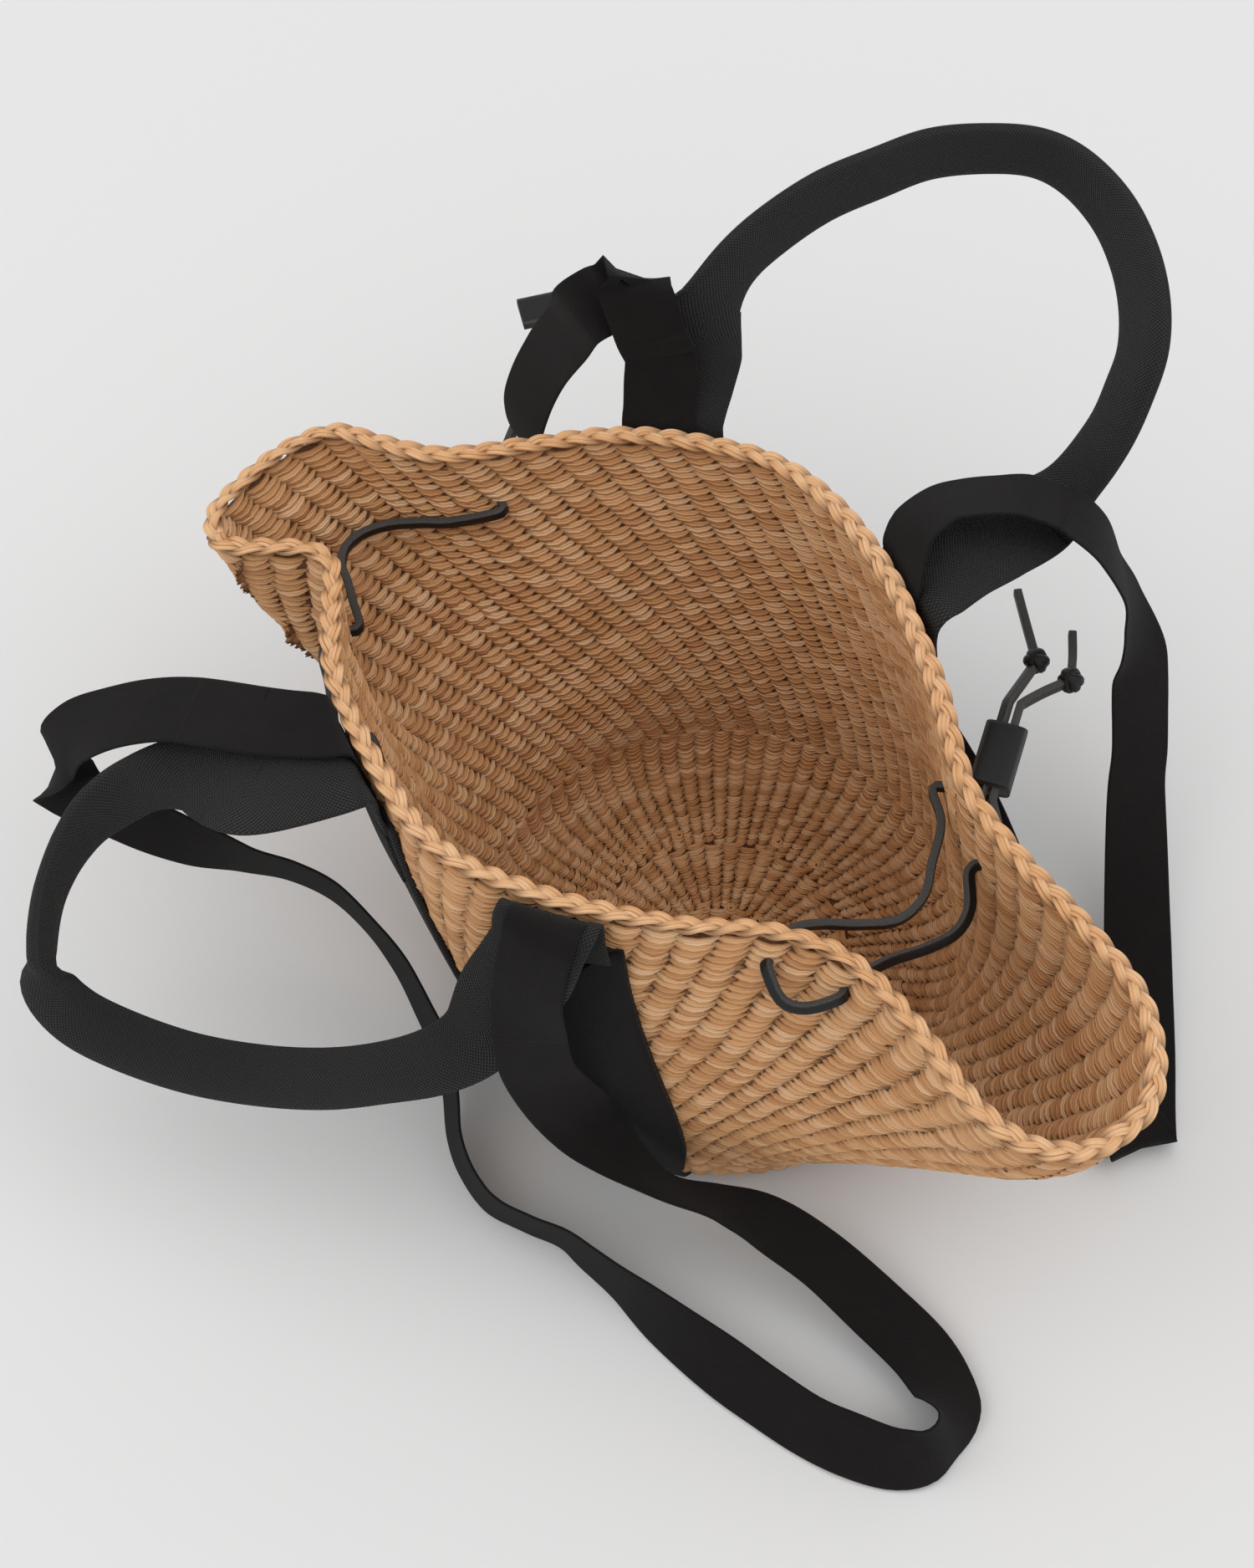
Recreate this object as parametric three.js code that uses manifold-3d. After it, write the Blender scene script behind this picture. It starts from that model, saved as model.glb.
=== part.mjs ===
// Woven straw basket bag with webbing handles, cotton shoulder straps and leather laces.
// Millimetres, +Z up. The origin is the centre of the base, on the surface it stands on.
// +X points to the right-hand ear of the mouth and +Y to the far long wall.

import * as THREE from 'three';
import { mergeVertices } from 'three/addons/utils/BufferGeometryUtils.js';
import Module from 'manifold-3d';

const wasm = await Module();
wasm.setup();

// Straw body
const BASE_RADIUS = 117;
const CORNER_RADIUS = 26;
const STRAW_THICKNESS = 5;
const RIM_HEIGHT = 200;
const LOW_BELLY = 7;
const HIGH_BELLY = 10;
const PLAIT_WIDTH = 8.4;
const PLAIT_HEIGHT = 6.8;

// Webbing, straps and handles
const BAND_WIDTH = 46;
const BAND_THICKNESS = 2;
const BAND_MARGIN = 10;
const LEFT_BAND_X = CORNER_RADIUS + BAND_MARGIN + BAND_WIDTH / 2 - BASE_RADIUS;
const RIGHT_BAND_X = 27;
const STRAP_WIDTH = 32;
const STRAP_THICKNESS = 1.4;
const GRIP_WIDTH = 27;
const GRIP_THICKNESS = 12;
const FOLD_RISE = 3;
const FOLD_STANDOFF = 6;
const TACK_SIDE = 30;
const TACK_THICKNESS = 0.8;

// Leather laces, their sleeve, pull tab and ring knots
const LACE_DIAMETER = 4;
const LACE_CLEARANCE = 0.5;
const SLEEVE_LENGTH = 34;
const SLEEVE_WIDTH = 19;
const SLEEVE_THICKNESS = 8.4;
const STRAND_SPACING = 5.6;
const KNOT_WIDTH = 12;
const TAB_LENGTH = 32;
const TAB_WIDTH = 16;
const TAB_THICKNESS = 5;

// Holes the laces pass through: place around the rim and height share up the wall
const LACE_HOLES = {
  right_far_a: [14.8, 0.8], right_far_b: [16.5, 0.82], right_near_a: [27.05, 0.95], right_near_b: [26.1, 0.94],
  left_far: [6.35, 0.86], left_near: [37.1, 0.84], left_seam: [34.8, 0.84],
};

// Clearance kept between pieces that touch, and between pieces that turn
const GAP = 0.3;
const HINGE_GAP = 1.2;

// Facets
const WALL_COLUMNS = 82;
const WALL_ROWS = 7;
const STATION = 16;
const LACE_STATION = 11;

const UP = new THREE.Vector3(0, 0, 1);
const vec = (x, y, z) => new THREE.Vector3(x, y, z);
const drop = (d) => RIM_HEIGHT - d;

// Rim of the mouth, clockwise from the left ear along the far wall: x, y, z, the angle on the
// base circle that the wall rises from, and how far the wall bellies out on its way up.
const RIM = [
  [-252, -35, drop(18), 187, 17], [-261, -24, drop(18), 182, 15], [-262, -6, drop(18), 178, 14], [-256, 22, drop(16), 170, 8],
  [-241, 42, drop(12), 162, 2], [-219, 48, drop(10), 155, -2], [-192, 57, drop(8), 146, -4],
  [-164, 80, drop(5), 137, -4], [-134, 106, drop(3), 129, -2], [-102, 123, drop(2), 117, -2],
  [-66, 134, drop(1), 102, -2], [-28, 129, drop(0), 85, -2], [10, 112, drop(0), 68, -4],
  [34, 95, drop(1), 57, -8], [60, 74, drop(2), 48, -12], [81, 53, drop(3), 40, -16],
  [98, 40, drop(5), 34, -18], [131, 27, drop(8), 25, -14], [163, 19, drop(11), 17, -6],
  [197, 6, drop(14), 9, 2], [219, -16, drop(16), 3, 10], [227, -40, drop(17), -3, 20],
  [218, -67, drop(17), -9, 30], [195, -81, drop(15), -15, 38], [168, -80, drop(12), -21, 42],
  [136, -68, drop(8), -28, 40], [96, -58, drop(5), -36, 30], [63, -66, drop(3), -43, 18],
  [33, -84, drop(2), -49, 8], [-3, -100, drop(1), -58, 2], [-30, -108, drop(1), -66, 0],
  [-61, -113, drop(1), -80, 0], [-88, -109, drop(2), -97, 0], [-114, -97, drop(3), -117, 0],
  [-140, -83, drop(4), -129, 0], [-163, -66, drop(6), -139, 0], [-182, -44, drop(9), -148, 4],
  [-198, -23, drop(12), -155, 10], [-211, -19, drop(14), -160, 16], [-226, -26, drop(16), -166, 18],
  [-241, -34, drop(18), -171, 18],
];

// Places on the rim, counted in rim points, where the webbing folds over
const ANCHORS = { near_left: 33.4, near_right: 29.5, far_left: 8.7, far_right: 12.3 };

// Value of a closed list of points at a place counted in points
function around(list, place) {
  const n = list.length;
  const i = Math.floor(place);
  const f = place - i;
  const row = (k) => list[(((i + k) % n) + n) % n].slice();
  const four = [row(-1), row(0), row(1), row(2)];
  const near = four[1][3];
  for (const r of four) r[3] = near + ((((r[3] - near + 180) % 360) + 360) % 360) - 180;
  const [a, b, c, d] = four;
  return a.map((_, k) => cubic(a[k], b[k], c[k], d[k], f));
}

// Cubic through b and c with neighbours a and d
function cubic(a, b, c, d, f) {
  return 0.5 * (2 * b + (c - a) * f + (2 * a - 5 * b + 4 * c - d) * f * f + (3 * b - 3 * c + d - a) * f ** 3);
}

// Point on the outer face of the wall: place around the rim, height share from 0 at the base to 1
function wallPoint(place, up) {
  const [x, y, z, angle, belly] = around(RIM, place);
  const out = vec(Math.cos(THREE.MathUtils.degToRad(angle)), Math.sin(THREE.MathUtils.degToRad(angle)), 0);
  const foot = out.clone().multiplyScalar(BASE_RADIUS).setZ(CORNER_RADIUS);
  const rim = vec(x, y, z);
  const rise = z - CORNER_RADIUS;
  const low = foot.clone().addScaledVector(out, LOW_BELLY + belly).setZ(CORNER_RADIUS + 0.3 * rise);
  const high = foot.clone().lerp(rim, 0.66).addScaledVector(out, HIGH_BELLY + 0.9 * belly);
  high.setZ(CORNER_RADIUS + 0.62 * rise);
  const w = 1 - up;
  return foot.multiplyScalar(w ** 3)
    .addScaledVector(low, 3 * w * w * up)
    .addScaledVector(high, 3 * w * up * up)
    .addScaledVector(rim, up ** 3);
}

// Outward normal and upward tangent of the wall
function wallFrame(place, up) {
  const e = 0.02;
  const along = wallPoint(place + e, up).sub(wallPoint(place - e, up)).normalize();
  const rise = wallPoint(place, Math.min(1, up + e)).sub(wallPoint(place, Math.max(0, up - e))).normalize();
  const out = rise.clone().cross(along).normalize();
  return { along, rise, out };
}

// One closed mesh from rings of points; each ring runs the same way round
function loft(rings, closed = false) {
  const m = rings[0].length;
  const positions = rings.flat().flatMap((p) => [p.x, p.y, p.z]);
  const index = [];
  const last = closed ? rings.length : rings.length - 1;
  for (let i = 0; i < last; i += 1) {
    const j = (i + 1) % rings.length;
    for (let k = 0; k < m; k += 1) {
      const l = (k + 1) % m;
      const [a, b, c, d] = [i * m + k, j * m + k, j * m + l, i * m + l];
      // Both faces of a thin strip are split along the same diagonal, so they stay parallel
      if (k < m / 2) index.push(a, b, c, a, c, d);
      else index.push(a, b, d, b, c, d);
    }
  }
  if (!closed) {
    const end = (rings.length - 1) * m;
    for (let k = 0; k < m / 2 - 1; k += 1) {
      const [a, b, c, d] = [k, k + 1, m - 2 - k, m - 1 - k];
      index.push(a, b, c, a, c, d);
      index.push(end + a, end + c, end + b, end + a, end + d, end + c);
    }
  }
  return outward(positions, index);
}

// Geometry whose faces point out
function outward(positions, index) {
  let volume = 0;
  const p = (i) => vec(positions[3 * i], positions[3 * i + 1], positions[3 * i + 2]);
  for (let i = 0; i < index.length; i += 3) {
    volume += p(index[i]).dot(p(index[i + 1]).cross(p(index[i + 2])));
  }
  if (volume < 0) {
    for (let i = 0; i < index.length; i += 3) {
      [index[i + 1], index[i + 2]] = [index[i + 2], index[i + 1]];
    }
  }
  const geometry = new THREE.BufferGeometry();
  geometry.setAttribute('position', new THREE.Float32BufferAttribute(positions, 3));
  geometry.setIndex(index);
  return geometry;
}

function toSolid(geometry) {
  const bare = geometry.clone();
  bare.deleteAttribute('normal');
  bare.deleteAttribute('uv');
  const merged = mergeVertices(bare, 1e-4);
  const mesh = new wasm.Mesh({
    numProp: 3,
    vertProperties: new Float32Array(merged.attributes.position.array),
    triVerts: new Uint32Array(merged.index.array),
  });
  return new wasm.Manifold(mesh);
}

function fromSolid(solid) {
  const mesh = solid.getMesh();
  const geometry = new THREE.BufferGeometry();
  geometry.setAttribute('position', new THREE.Float32BufferAttribute(mesh.vertProperties, 3));
  geometry.setIndex(Array.from(mesh.triVerts));
  return geometry;
}

// The first geometry with the others cut out of it
function cut(geometry, tools) {
  let solid = toSolid(geometry);
  for (const tool of tools) solid = solid.subtract(toSolid(tool));
  return fromSolid(solid);
}

// Stations at an even spacing along hand-chosen rows of x, y, z and further values
function stations(rows, spacing = STATION) {
  const out = [];
  const n = rows.length - 1;
  const row = (i) => rows[Math.min(n, Math.max(0, i))];
  for (let i = 0; i < n; i += 1) {
    const span = Math.hypot(...[0, 1, 2].map((k) => rows[i + 1][k] - rows[i][k]));
    const count = Math.max(1, Math.round(span / spacing));
    for (let j = 0; j < count; j += 1) {
      const f = j / count;
      out.push(row(i).map((_, k) => cubic(row(i - 1)[k], row(i)[k], row(i + 1)[k], row(i + 2)[k], f)));
    }
  }
  out.push(rows[n].slice());
  return out;
}

// Rectangle, with its corners cut by a share, swept along rows of x, y, z, width direction,
// half width and half thickness
function sweep(rows, bevel = 0, spacing = STATION, grow = 0) {
  const line = stations(rows, spacing);
  const rings = line.map((s, i) => {
    const here = vec(s[0], s[1], s[2]);
    const before = line[Math.max(0, i - 1)];
    const after = line[Math.min(line.length - 1, i + 1)];
    const along = vec(after[0] - before[0], after[1] - before[1], after[2] - before[2]).normalize();
    const width = vec(s[3], s[4], s[5]);
    width.addScaledVector(along, -width.dot(along)).normalize();
    const thick = along.clone().cross(width).normalize();
    const a = s[6] + grow;
    const b = s[7] + grow;
    const corners = bevel > 0
      ? [[-a + bevel * b, b], [a - bevel * b, b], [a, b * (1 - bevel)], [a, -b * (1 - bevel)],
        [a - bevel * b, -b], [-a + bevel * b, -b], [-a, -b * (1 - bevel)], [-a, b * (1 - bevel)]]
      : [[-a, b], [a, b], [a, -b], [-a, -b]];
    return corners.map(([u, v]) => here.clone().addScaledVector(width, u).addScaledVector(thick, v));
  });
  return loft(rings);
}

// Round tube along rows of x, y, z
function tube(rows, radius, sides = 8, spacing = STATION) {
  const line = stations(rows, spacing).map((s) => vec(s[0], s[1], s[2]));
  let side = null;
  const rings = line.map((here, i) => {
    const along = line[Math.min(line.length - 1, i + 1)].clone().sub(line[Math.max(0, i - 1)]).normalize();
    side = side ?? (Math.abs(along.z) < 0.9 ? UP.clone() : vec(1, 0, 0));
    side.addScaledVector(along, -side.dot(along)).normalize();
    const other = along.clone().cross(side);
    return Array.from({ length: sides }, (_, k) => {
      const t = ((k + 0.5) / sides) * 2 * Math.PI;
      return here.clone().addScaledVector(side, radius * Math.cos(t)).addScaledVector(other, radius * Math.sin(t));
    });
  });
  return loft(rings);
}

// Fold line of each webbing anchor: its middle, and the direction shared by both ends of a loop
function foldPoints(left, right) {
  const middles = [left, right].map((place) => wallPoint(place, 1).setZ(0));
  const along = middles[1].clone().sub(middles[0]).normalize();
  return [left, right].map((place, i) => {
    const frame = wallFrame(place, 1);
    const out = frame.out.clone().setZ(0).normalize();
    const skew = Math.sqrt(Math.max(0, 1 - frame.along.clone().setZ(0).normalize().dot(along) ** 2));
    const at = middles[i].clone().addScaledVector(out, (BAND_WIDTH / 2) * skew + FOLD_STANDOFF);
    return { at: at.setZ(wallPoint(place, 1).z + FOLD_RISE), along, out, place };
  });
}

const [nearLeft, nearRight] = foldPoints(ANCHORS.near_left, ANCHORS.near_right);
const [farLeft, farRight] = foldPoints(ANCHORS.far_left, ANCHORS.far_right);

// Rim place where the wall stands over a given x of the base circle
function placeOverBase(x, start) {
  const far = around(RIM, start)[1] > 0;
  let best = start;
  let least = Infinity;
  for (let k = -400; k <= 400; k += 1) {
    const place = start + k / 80;
    const angle = THREE.MathUtils.degToRad(around(RIM, place)[3]);
    const miss = Math.abs(BASE_RADIUS * Math.cos(angle) - x) + (Math.sin(angle) > 0 === far ? 0 : 1e3);
    if (miss < least) [least, best] = [miss, place];
  }
  return best;
}

// One ring of a band: four points across on its inner face, four back on its outer face
function bandRing(across, grow) {
  const inner = across.map(({ at, out }) => at.clone().addScaledVector(out, GAP - grow));
  const outer = across.map(({ at, out }) => at.clone().addScaledVector(out, GAP + BAND_THICKNESS + grow));
  return [...inner, ...outer.reverse()];
}

const ACROSS = [-0.5, -1 / 6, 1 / 6, 0.5];

// Points across a band where it lies on the wall at a height share; share narrows the row
function bandAcross(fold, x, up, share, grow) {
  const width = (BAND_WIDTH + 2 * grow) * share;
  const flow = Math.sign(wallFrame(fold.place, 0.5).along.dot(fold.along));
  const step = wallPoint(fold.place + 0.1, up).distanceTo(wallPoint(fold.place - 0.1, up)) / 0.2;
  return ACROSS.map((u) => {
    const base = placeOverBase(x + u * width, fold.place);
    const rim = fold.place + (flow * u * width) / step;
    const place = THREE.MathUtils.lerp(base, rim, up);
    return { at: wallPoint(place, up), out: wallFrame(place, up).out };
  });
}

// Half of a band, from the fold at the rim down the wall and round the corner of the base
function bandHalf(fold, x, grow) {
  const far = fold.at.y > 0;
  const width = BAND_WIDTH + 2 * grow;
  const rings = [];
  const foldRing = ACROSS.map((u) => ({
    at: fold.at.clone().addScaledVector(fold.along, u * width).setZ(fold.at.z - HINGE_GAP)
      .addScaledVector(fold.out, -GAP - BAND_THICKNESS / 2),
    out: fold.out,
  }));
  rings.push(bandRing(foldRing, grow));
  for (const up of [0.86, 0.74, 0.6, 0.46, 0.32, 0.18, 0.05]) {
    rings.push(bandRing(bandAcross(fold, x, up, 1, grow), grow));
  }
  for (const turn of [85, 65, 45, 30]) {
    const t = THREE.MathUtils.degToRad(turn);
    const reach = BASE_RADIUS - CORNER_RADIUS * (1 - Math.sin(t));
    rings.push(bandRing(ACROSS.map((u) => {
      const px = x + u * width;
      const py = Math.sqrt(reach ** 2 - px ** 2) * (far ? 1 : -1);
      const round = vec(px, py, 0).normalize();
      const out = round.clone().multiplyScalar(Math.sin(t)).setZ(-Math.cos(t));
      return { at: vec(px, py, CORNER_RADIUS * (1 - Math.cos(t))), out };
    }), grow));
  }
  return rings;
}

// Point on a band under the base, at a share of the way from the middle to the corner
function underBase(x, share) {
  const reach = Math.sqrt((BASE_RADIUS - CORNER_RADIUS) ** 2 - x ** 2);
  return vec(x, share * reach, BAND_THICKNESS + GAP);
}

// Band from one fold to the other, flat on the ground under the base
function band(nearFold, farFold, x, grow = 0) {
  const middle = [-0.9, -0.35, 0.35, 0.9].map((share) => bandRing(ACROSS.map((u) => ({
    at: underBase(x + u * (BAND_WIDTH + 2 * grow), share),
    out: vec(0, 0, -1),
  })), grow));
  return loft([...bandHalf(nearFold, x, grow), ...middle, ...bandHalf(farFold, x, grow).reverse()]);
}

// Straw base: a round tray whose edge turns up to meet the wall
function baseTray() {
  const arc = (radius, height, from, to) => Array.from({ length: 5 }, (_, k) => {
    const t = THREE.MathUtils.degToRad(from + ((to - from) * k) / 4);
    return new THREE.Vector2(BASE_RADIUS - CORNER_RADIUS + radius * Math.sin(t), height - radius * Math.cos(t));
  });
  const profile = [
    new THREE.Vector2(0, 0),
    ...arc(CORNER_RADIUS, CORNER_RADIUS, 0, 90),
    ...arc(CORNER_RADIUS - STRAW_THICKNESS, CORNER_RADIUS, 90, 0),
    new THREE.Vector2(0, STRAW_THICKNESS),
  ];
  const lathe = new THREE.LatheGeometry(profile, 48).rotateX(Math.PI / 2);
  lathe.deleteAttribute('normal');
  lathe.deleteAttribute('uv');
  const merged = mergeVertices(lathe, 1e-4);
  const keep = [];
  const index = merged.index.array;
  for (let i = 0; i < index.length; i += 3) {
    const [a, b, c] = [index[i], index[i + 1], index[i + 2]];
    if (a !== b && b !== c && c !== a) keep.push(a, b, c);
  }
  return outward(Array.from(merged.attributes.position.array), keep);
}

// Straw wall: outer face up, inner face down, closed round the mouth
function wallShell() {
  const sections = Array.from({ length: WALL_COLUMNS }, (_, i) => {
    const place = (i / WALL_COLUMNS) * RIM.length;
    const outer = [];
    const inner = [];
    for (let j = 0; j <= WALL_ROWS; j += 1) {
      const up = j / WALL_ROWS;
      const at = wallPoint(place, up);
      const { out } = wallFrame(place, up);
      if (j === 0) {
        at.z += GAP;
        out.setZ(0).normalize();
      }
      outer.push(at);
      inner.push(at.clone().addScaledVector(out, -STRAW_THICKNESS));
    }
    return [...outer, ...inner.reverse()];
  });
  return loft(sections, true);
}

// Plaited rim, standing on the top edge of the wall
function rimPlait() {
  const sections = Array.from({ length: WALL_COLUMNS }, (_, i) => {
    const place = (i / WALL_COLUMNS) * RIM.length;
    const { out, rise } = wallFrame(place, 1);
    const at = wallPoint(place, 1)
      .addScaledVector(out, -STRAW_THICKNESS / 2)
      .addScaledVector(rise, 3 * GAP + PLAIT_HEIGHT / 2);
    const [a, b] = [PLAIT_WIDTH / 2, PLAIT_HEIGHT / 2];
    const corners = [[-a / 2, -b], [a / 2, -b], [a, -b / 3], [a * 0.7, b * 0.8], [-a * 0.7, b * 0.8], [-a, -b / 3]];
    return corners.map(([u, v]) => at.clone().addScaledVector(out, u).addScaledVector(rise, v));
  });
  return loft(sections, true);
}

// Row of a sweep whose width lies along a fold line; move is where it sits from the fold
function foldRow(fold, move, halfWidth, halfThickness, side = 1) {
  const at = fold.at.clone().add(vec(...move));
  const width = fold.along.clone().multiplyScalar(side);
  return [at.x, at.y, at.z, width.x, width.y, 0, halfWidth, halfThickness];
}

export {
  BAND_THICKNESS, BAND_WIDTH, LACE_DIAMETER, RIM, RIM_HEIGHT,
  around, farLeft, farRight, nearLeft, nearRight, wallFrame, wallPoint,
};

const bag = new THREE.Group();

function add(name, geometry, look) {
  const mesh = new THREE.Mesh(geometry, new THREE.MeshStandardMaterial(look));
  mesh.name = name;
  bag.add(mesh);
}

const STRAW = { color: 0xc49464, roughness: 0.65, metalness: 0 };
const COARSE = { color: 0x2d2f32, roughness: 0.8, metalness: 0 };
const TWILL = { color: 0x1e1a1a, roughness: 0.9, metalness: 0 };
const LEATHER = { color: 0x282626, roughness: 0.5, metalness: 0 };
const THREAD = { color: 0x151313, roughness: 0.7, metalness: 0 };

const [FLAT_W, FLAT_T] = [BAND_WIDTH / 2, BAND_THICKNESS / 2];
const [GRIP_W, GRIP_T] = [GRIP_WIDTH / 2, GRIP_THICKNESS / 2];
const [TAPE_W, TAPE_T] = [STRAP_WIDTH / 2, STRAP_THICKNESS / 2];
const grip = (rows) => rows.map((r) => [...r, GRIP_W, GRIP_T]);
const tape = (rows) => rows.map((r) => [...r, TAPE_W, TAPE_T]);

// Near handle: a flat leg off the left fold, rolled into a grip, and a flat leg up to the right fold
const nearHandle = [
  foldRow(nearLeft, [0, -2.1, 0], 12, FLAT_T, -1),
  [-132.5, -113, drop(1), -0.98, 0.2, 0, 12, FLAT_T],
  [-142, -122, drop(3), -0.75, 0.65, 0, 13, FLAT_T],
  [-157, -127, drop(8), -0.35, 0.9, 0.1, 16, FLAT_T],
  [-174, -128, drop(16), -0.3, 0.9, 0.2, 19, 1.5],
  [-192, -130, drop(25), -0.3, 0.85, 0.35, 17, 3.5],
  ...grip([
    [-208, -141, drop(33), -0.4, 0.7, 0.6], [-219, -159, drop(42), -0.25, 0.35, 0.9],
    [-223, -177, drop(52), -0.1, 0.1, 1], [-221, -197, drop(64), 0, 0.1, 1],
    [-214, -214, drop(78), -0.15, 0.3, 0.9], [-206, -223, drop(90), -0.3, 0.5, 0.8],
    [-190, -225, drop(100), -0.45, 0.6, 0.65], [-167, -220, drop(107), -0.49, 0.71, 0.5],
    [-138, -211, drop(110), -0.49, 0.71, 0.5], [-109, -199, drop(108), -0.49, 0.71, 0.5],
    [-81, -187, drop(98), -0.49, 0.71, 0.5], [-58, -174, drop(86), -0.55, 0.65, 0.5],
  ]),
  [-40, -161, drop(75), -0.7, 0.45, 0.5, 15, 4],
  [-29, -147, drop(64), -0.9, 0.2, 0.35, 17, 2],
  [-26, -135, drop(46), -0.99, 0.05, 0.1, 17, FLAT_T],
  [-20, -129, drop(28), -0.99, 0.1, 0, 17, FLAT_T],
  [-15, -125, drop(13), -0.99, 0.12, 0, 17, FLAT_T],
  foldRow(nearRight, [0, -3.2, -4.5], 17, FLAT_T, -1),
];

// Far handle: both legs rise from their folds and the grip stands out beyond the far wall
const farHandle = [
  foldRow(farLeft, [0, 1, 0.7], 17, FLAT_T, -1),
  [-120, 141, drop(-11), -0.96, -0.22, 0, 18, FLAT_T],
  [-123, 153, drop(-26), -0.88, -0.42, 0.15, 18, 1.5],
  [-124, 168, drop(-38), -0.65, -0.4, 0.6, 15, 3.5],
  ...grip([
    [-124, 187, drop(-45), -0.43, -0.2, 0.88], [-119, 208, drop(-50), -0.36, -0.08, 0.93],
    [-109, 233, drop(-55), -0.29, 0, 0.96], [-95, 256, drop(-58), -0.23, 0.04, 0.97],
    [-81, 277, drop(-60), -0.15, 0.08, 0.99], [-62, 294, drop(-60), -0.07, 0.09, 0.99],
    [-42, 305, drop(-60), 0, 0.11, 0.99], [-22, 306, drop(-59), 0.1, 0.21, 0.97],
    [1, 298, drop(-57), 0.26, 0.29, 0.92], [21, 284, drop(-54), 0.43, 0.3, 0.85],
    [37, 267, drop(-50), 0.6, 0.24, 0.77], [48, 249, drop(-44), 0.77, 0.04, 0.64],
    [52, 233, drop(-34), 0.85, -0.25, 0.41], [52, 220, drop(-16), 0.86, -0.4, 0.25],
  ]),
  [46, 206, drop(8), 0.9, -0.2, 0.2, 14, 3.5],
  [41, 180, drop(8), 0.97, -0.2, 0, 17, 1.5],
  [33, 151, drop(2), 0.98, -0.15, 0, 17, FLAT_T],
  [28.5, 134, drop(-2), 1, -0.09, 0, 17, FLAT_T],
  foldRow(farRight, [0, 1.7, 0], 17, FLAT_T, 1),
];

// Near shoulder strap: left off its fold, back under the handle, over the ground and up the wall
const nearStrap = [
  foldRow(nearLeft, [-5, -4.8, 5.4], 7, TAPE_T, -1),
  [-138.5, -110.8, drop(-8.4), -0.97, 0.25, 0.05, 9, TAPE_T],
  [-153, -110.2, drop(-7), -0.9, 0.4, 0.1, 12, TAPE_T],
  ...tape([
    [-172, -103.5, drop(-1), -0.6, 0.8, 0], [-204, -112, drop(9), -0.55, 0.83, 0],
    [-224, -121, drop(17), -0.55, 0.8, 0], [-241, -131, drop(28), -0.65, 0.75, 0],
    [-254, -139, drop(42), -0.8, 0.6, 0.1], [-259, -146, drop(58), -0.6, 0.5, 0.6],
    [-252, -147, drop(76), 0, 0.4, 0.9], [-231, -137, drop(94), 0.48, 0.56, 0.67],
    [-204, -127, drop(105), 0.19, 0.31, 0.93], [-183, -116, drop(115), 0.17, -0.05, 0.98],
    [-165, -106, drop(122), 0.25, -0.1, 0.95], [-145, -101, drop(129), 0.19, -0.12, 0.97],
    [-121, -104, drop(136), 0.1, -0.1, 0.97], [-104, -108, drop(145), 0.2, -0.05, 0.97],
    [-86, -116, drop(155), 0.35, -0.07, 0.92], [-72, -123, drop(165), 0.45, -0.1, 0.9],
    [-58, -135, drop(174), 0.45, -0.18, 0.88], [-46, -149, drop(181), 0.4, -0.15, 0.9],
    [-33, -159, drop(182), 0.36, -0.13, 0.92], [-20, -165, drop(183), 0.35, -0.1, 0.93],
    [-8, -167, drop(183), 0.34, -0.07, 0.94], [8, -165, drop(183), 0.3, -0.05, 0.95],
    [24, -162, drop(183), 0.26, -0.05, 0.97], [38, -163, drop(184), 0.4, 0, 0.9],
    [58, -165, drop(184), 0.5, 0.08, 0.85], [84, -168, drop(185), 0.34, 0.39, 0.85],
    [115, -170, drop(186), 0.2, 0.61, 0.77], [138, -171, drop(186), 0.1, 0.62, 0.78],
    [161, -171, drop(186), 0.02, 0.62, 0.79], [180, -168, drop(186), -0.17, 0.64, 0.75],
    [198, -163, drop(186), -0.37, 0.5, 0.78], [209, -156, drop(184), -0.45, 0.3, 0.85],
    [214, -148, drop(182), -0.4, 0, 0.92], [214, -139, drop(182), -0.35, -0.3, 0.88],
    [209, -130, drop(184), -0.34, -0.7, 0.63], [200, -122, drop(187), -0.31, -0.88, 0.35],
    [183, -114, drop(187), -0.25, -0.95, 0.2], [157, -110, drop(182), -0.25, -0.94, 0.22],
    [126, -108, drop(172), -0.14, -0.94, 0.32], [100, -112, drop(160), -0.15, -0.88, 0.45],
    [80, -120, drop(150), 0, -0.74, 0.67], [62, -129, drop(140), 0.25, -0.6, 0.75],
    [46, -133, drop(128), 0.2, -0.75, 0.6], [31, -135, drop(116), -0.1, -0.93, 0.3],
    [18, -138, drop(104), -0.4, -0.9, 0.05], [8, -141, drop(88), -0.6, -0.78, 0],
    [0, -143, drop(68), -0.75, -0.6, 0], [-5, -141, drop(48), -0.85, -0.5, 0],
    [-9, -136.5, drop(26), -0.97, -0.2, 0],
  ]),
  foldRow(nearRight, [0, -6.5, -3], TAPE_W, TAPE_T, -1),
];

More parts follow.
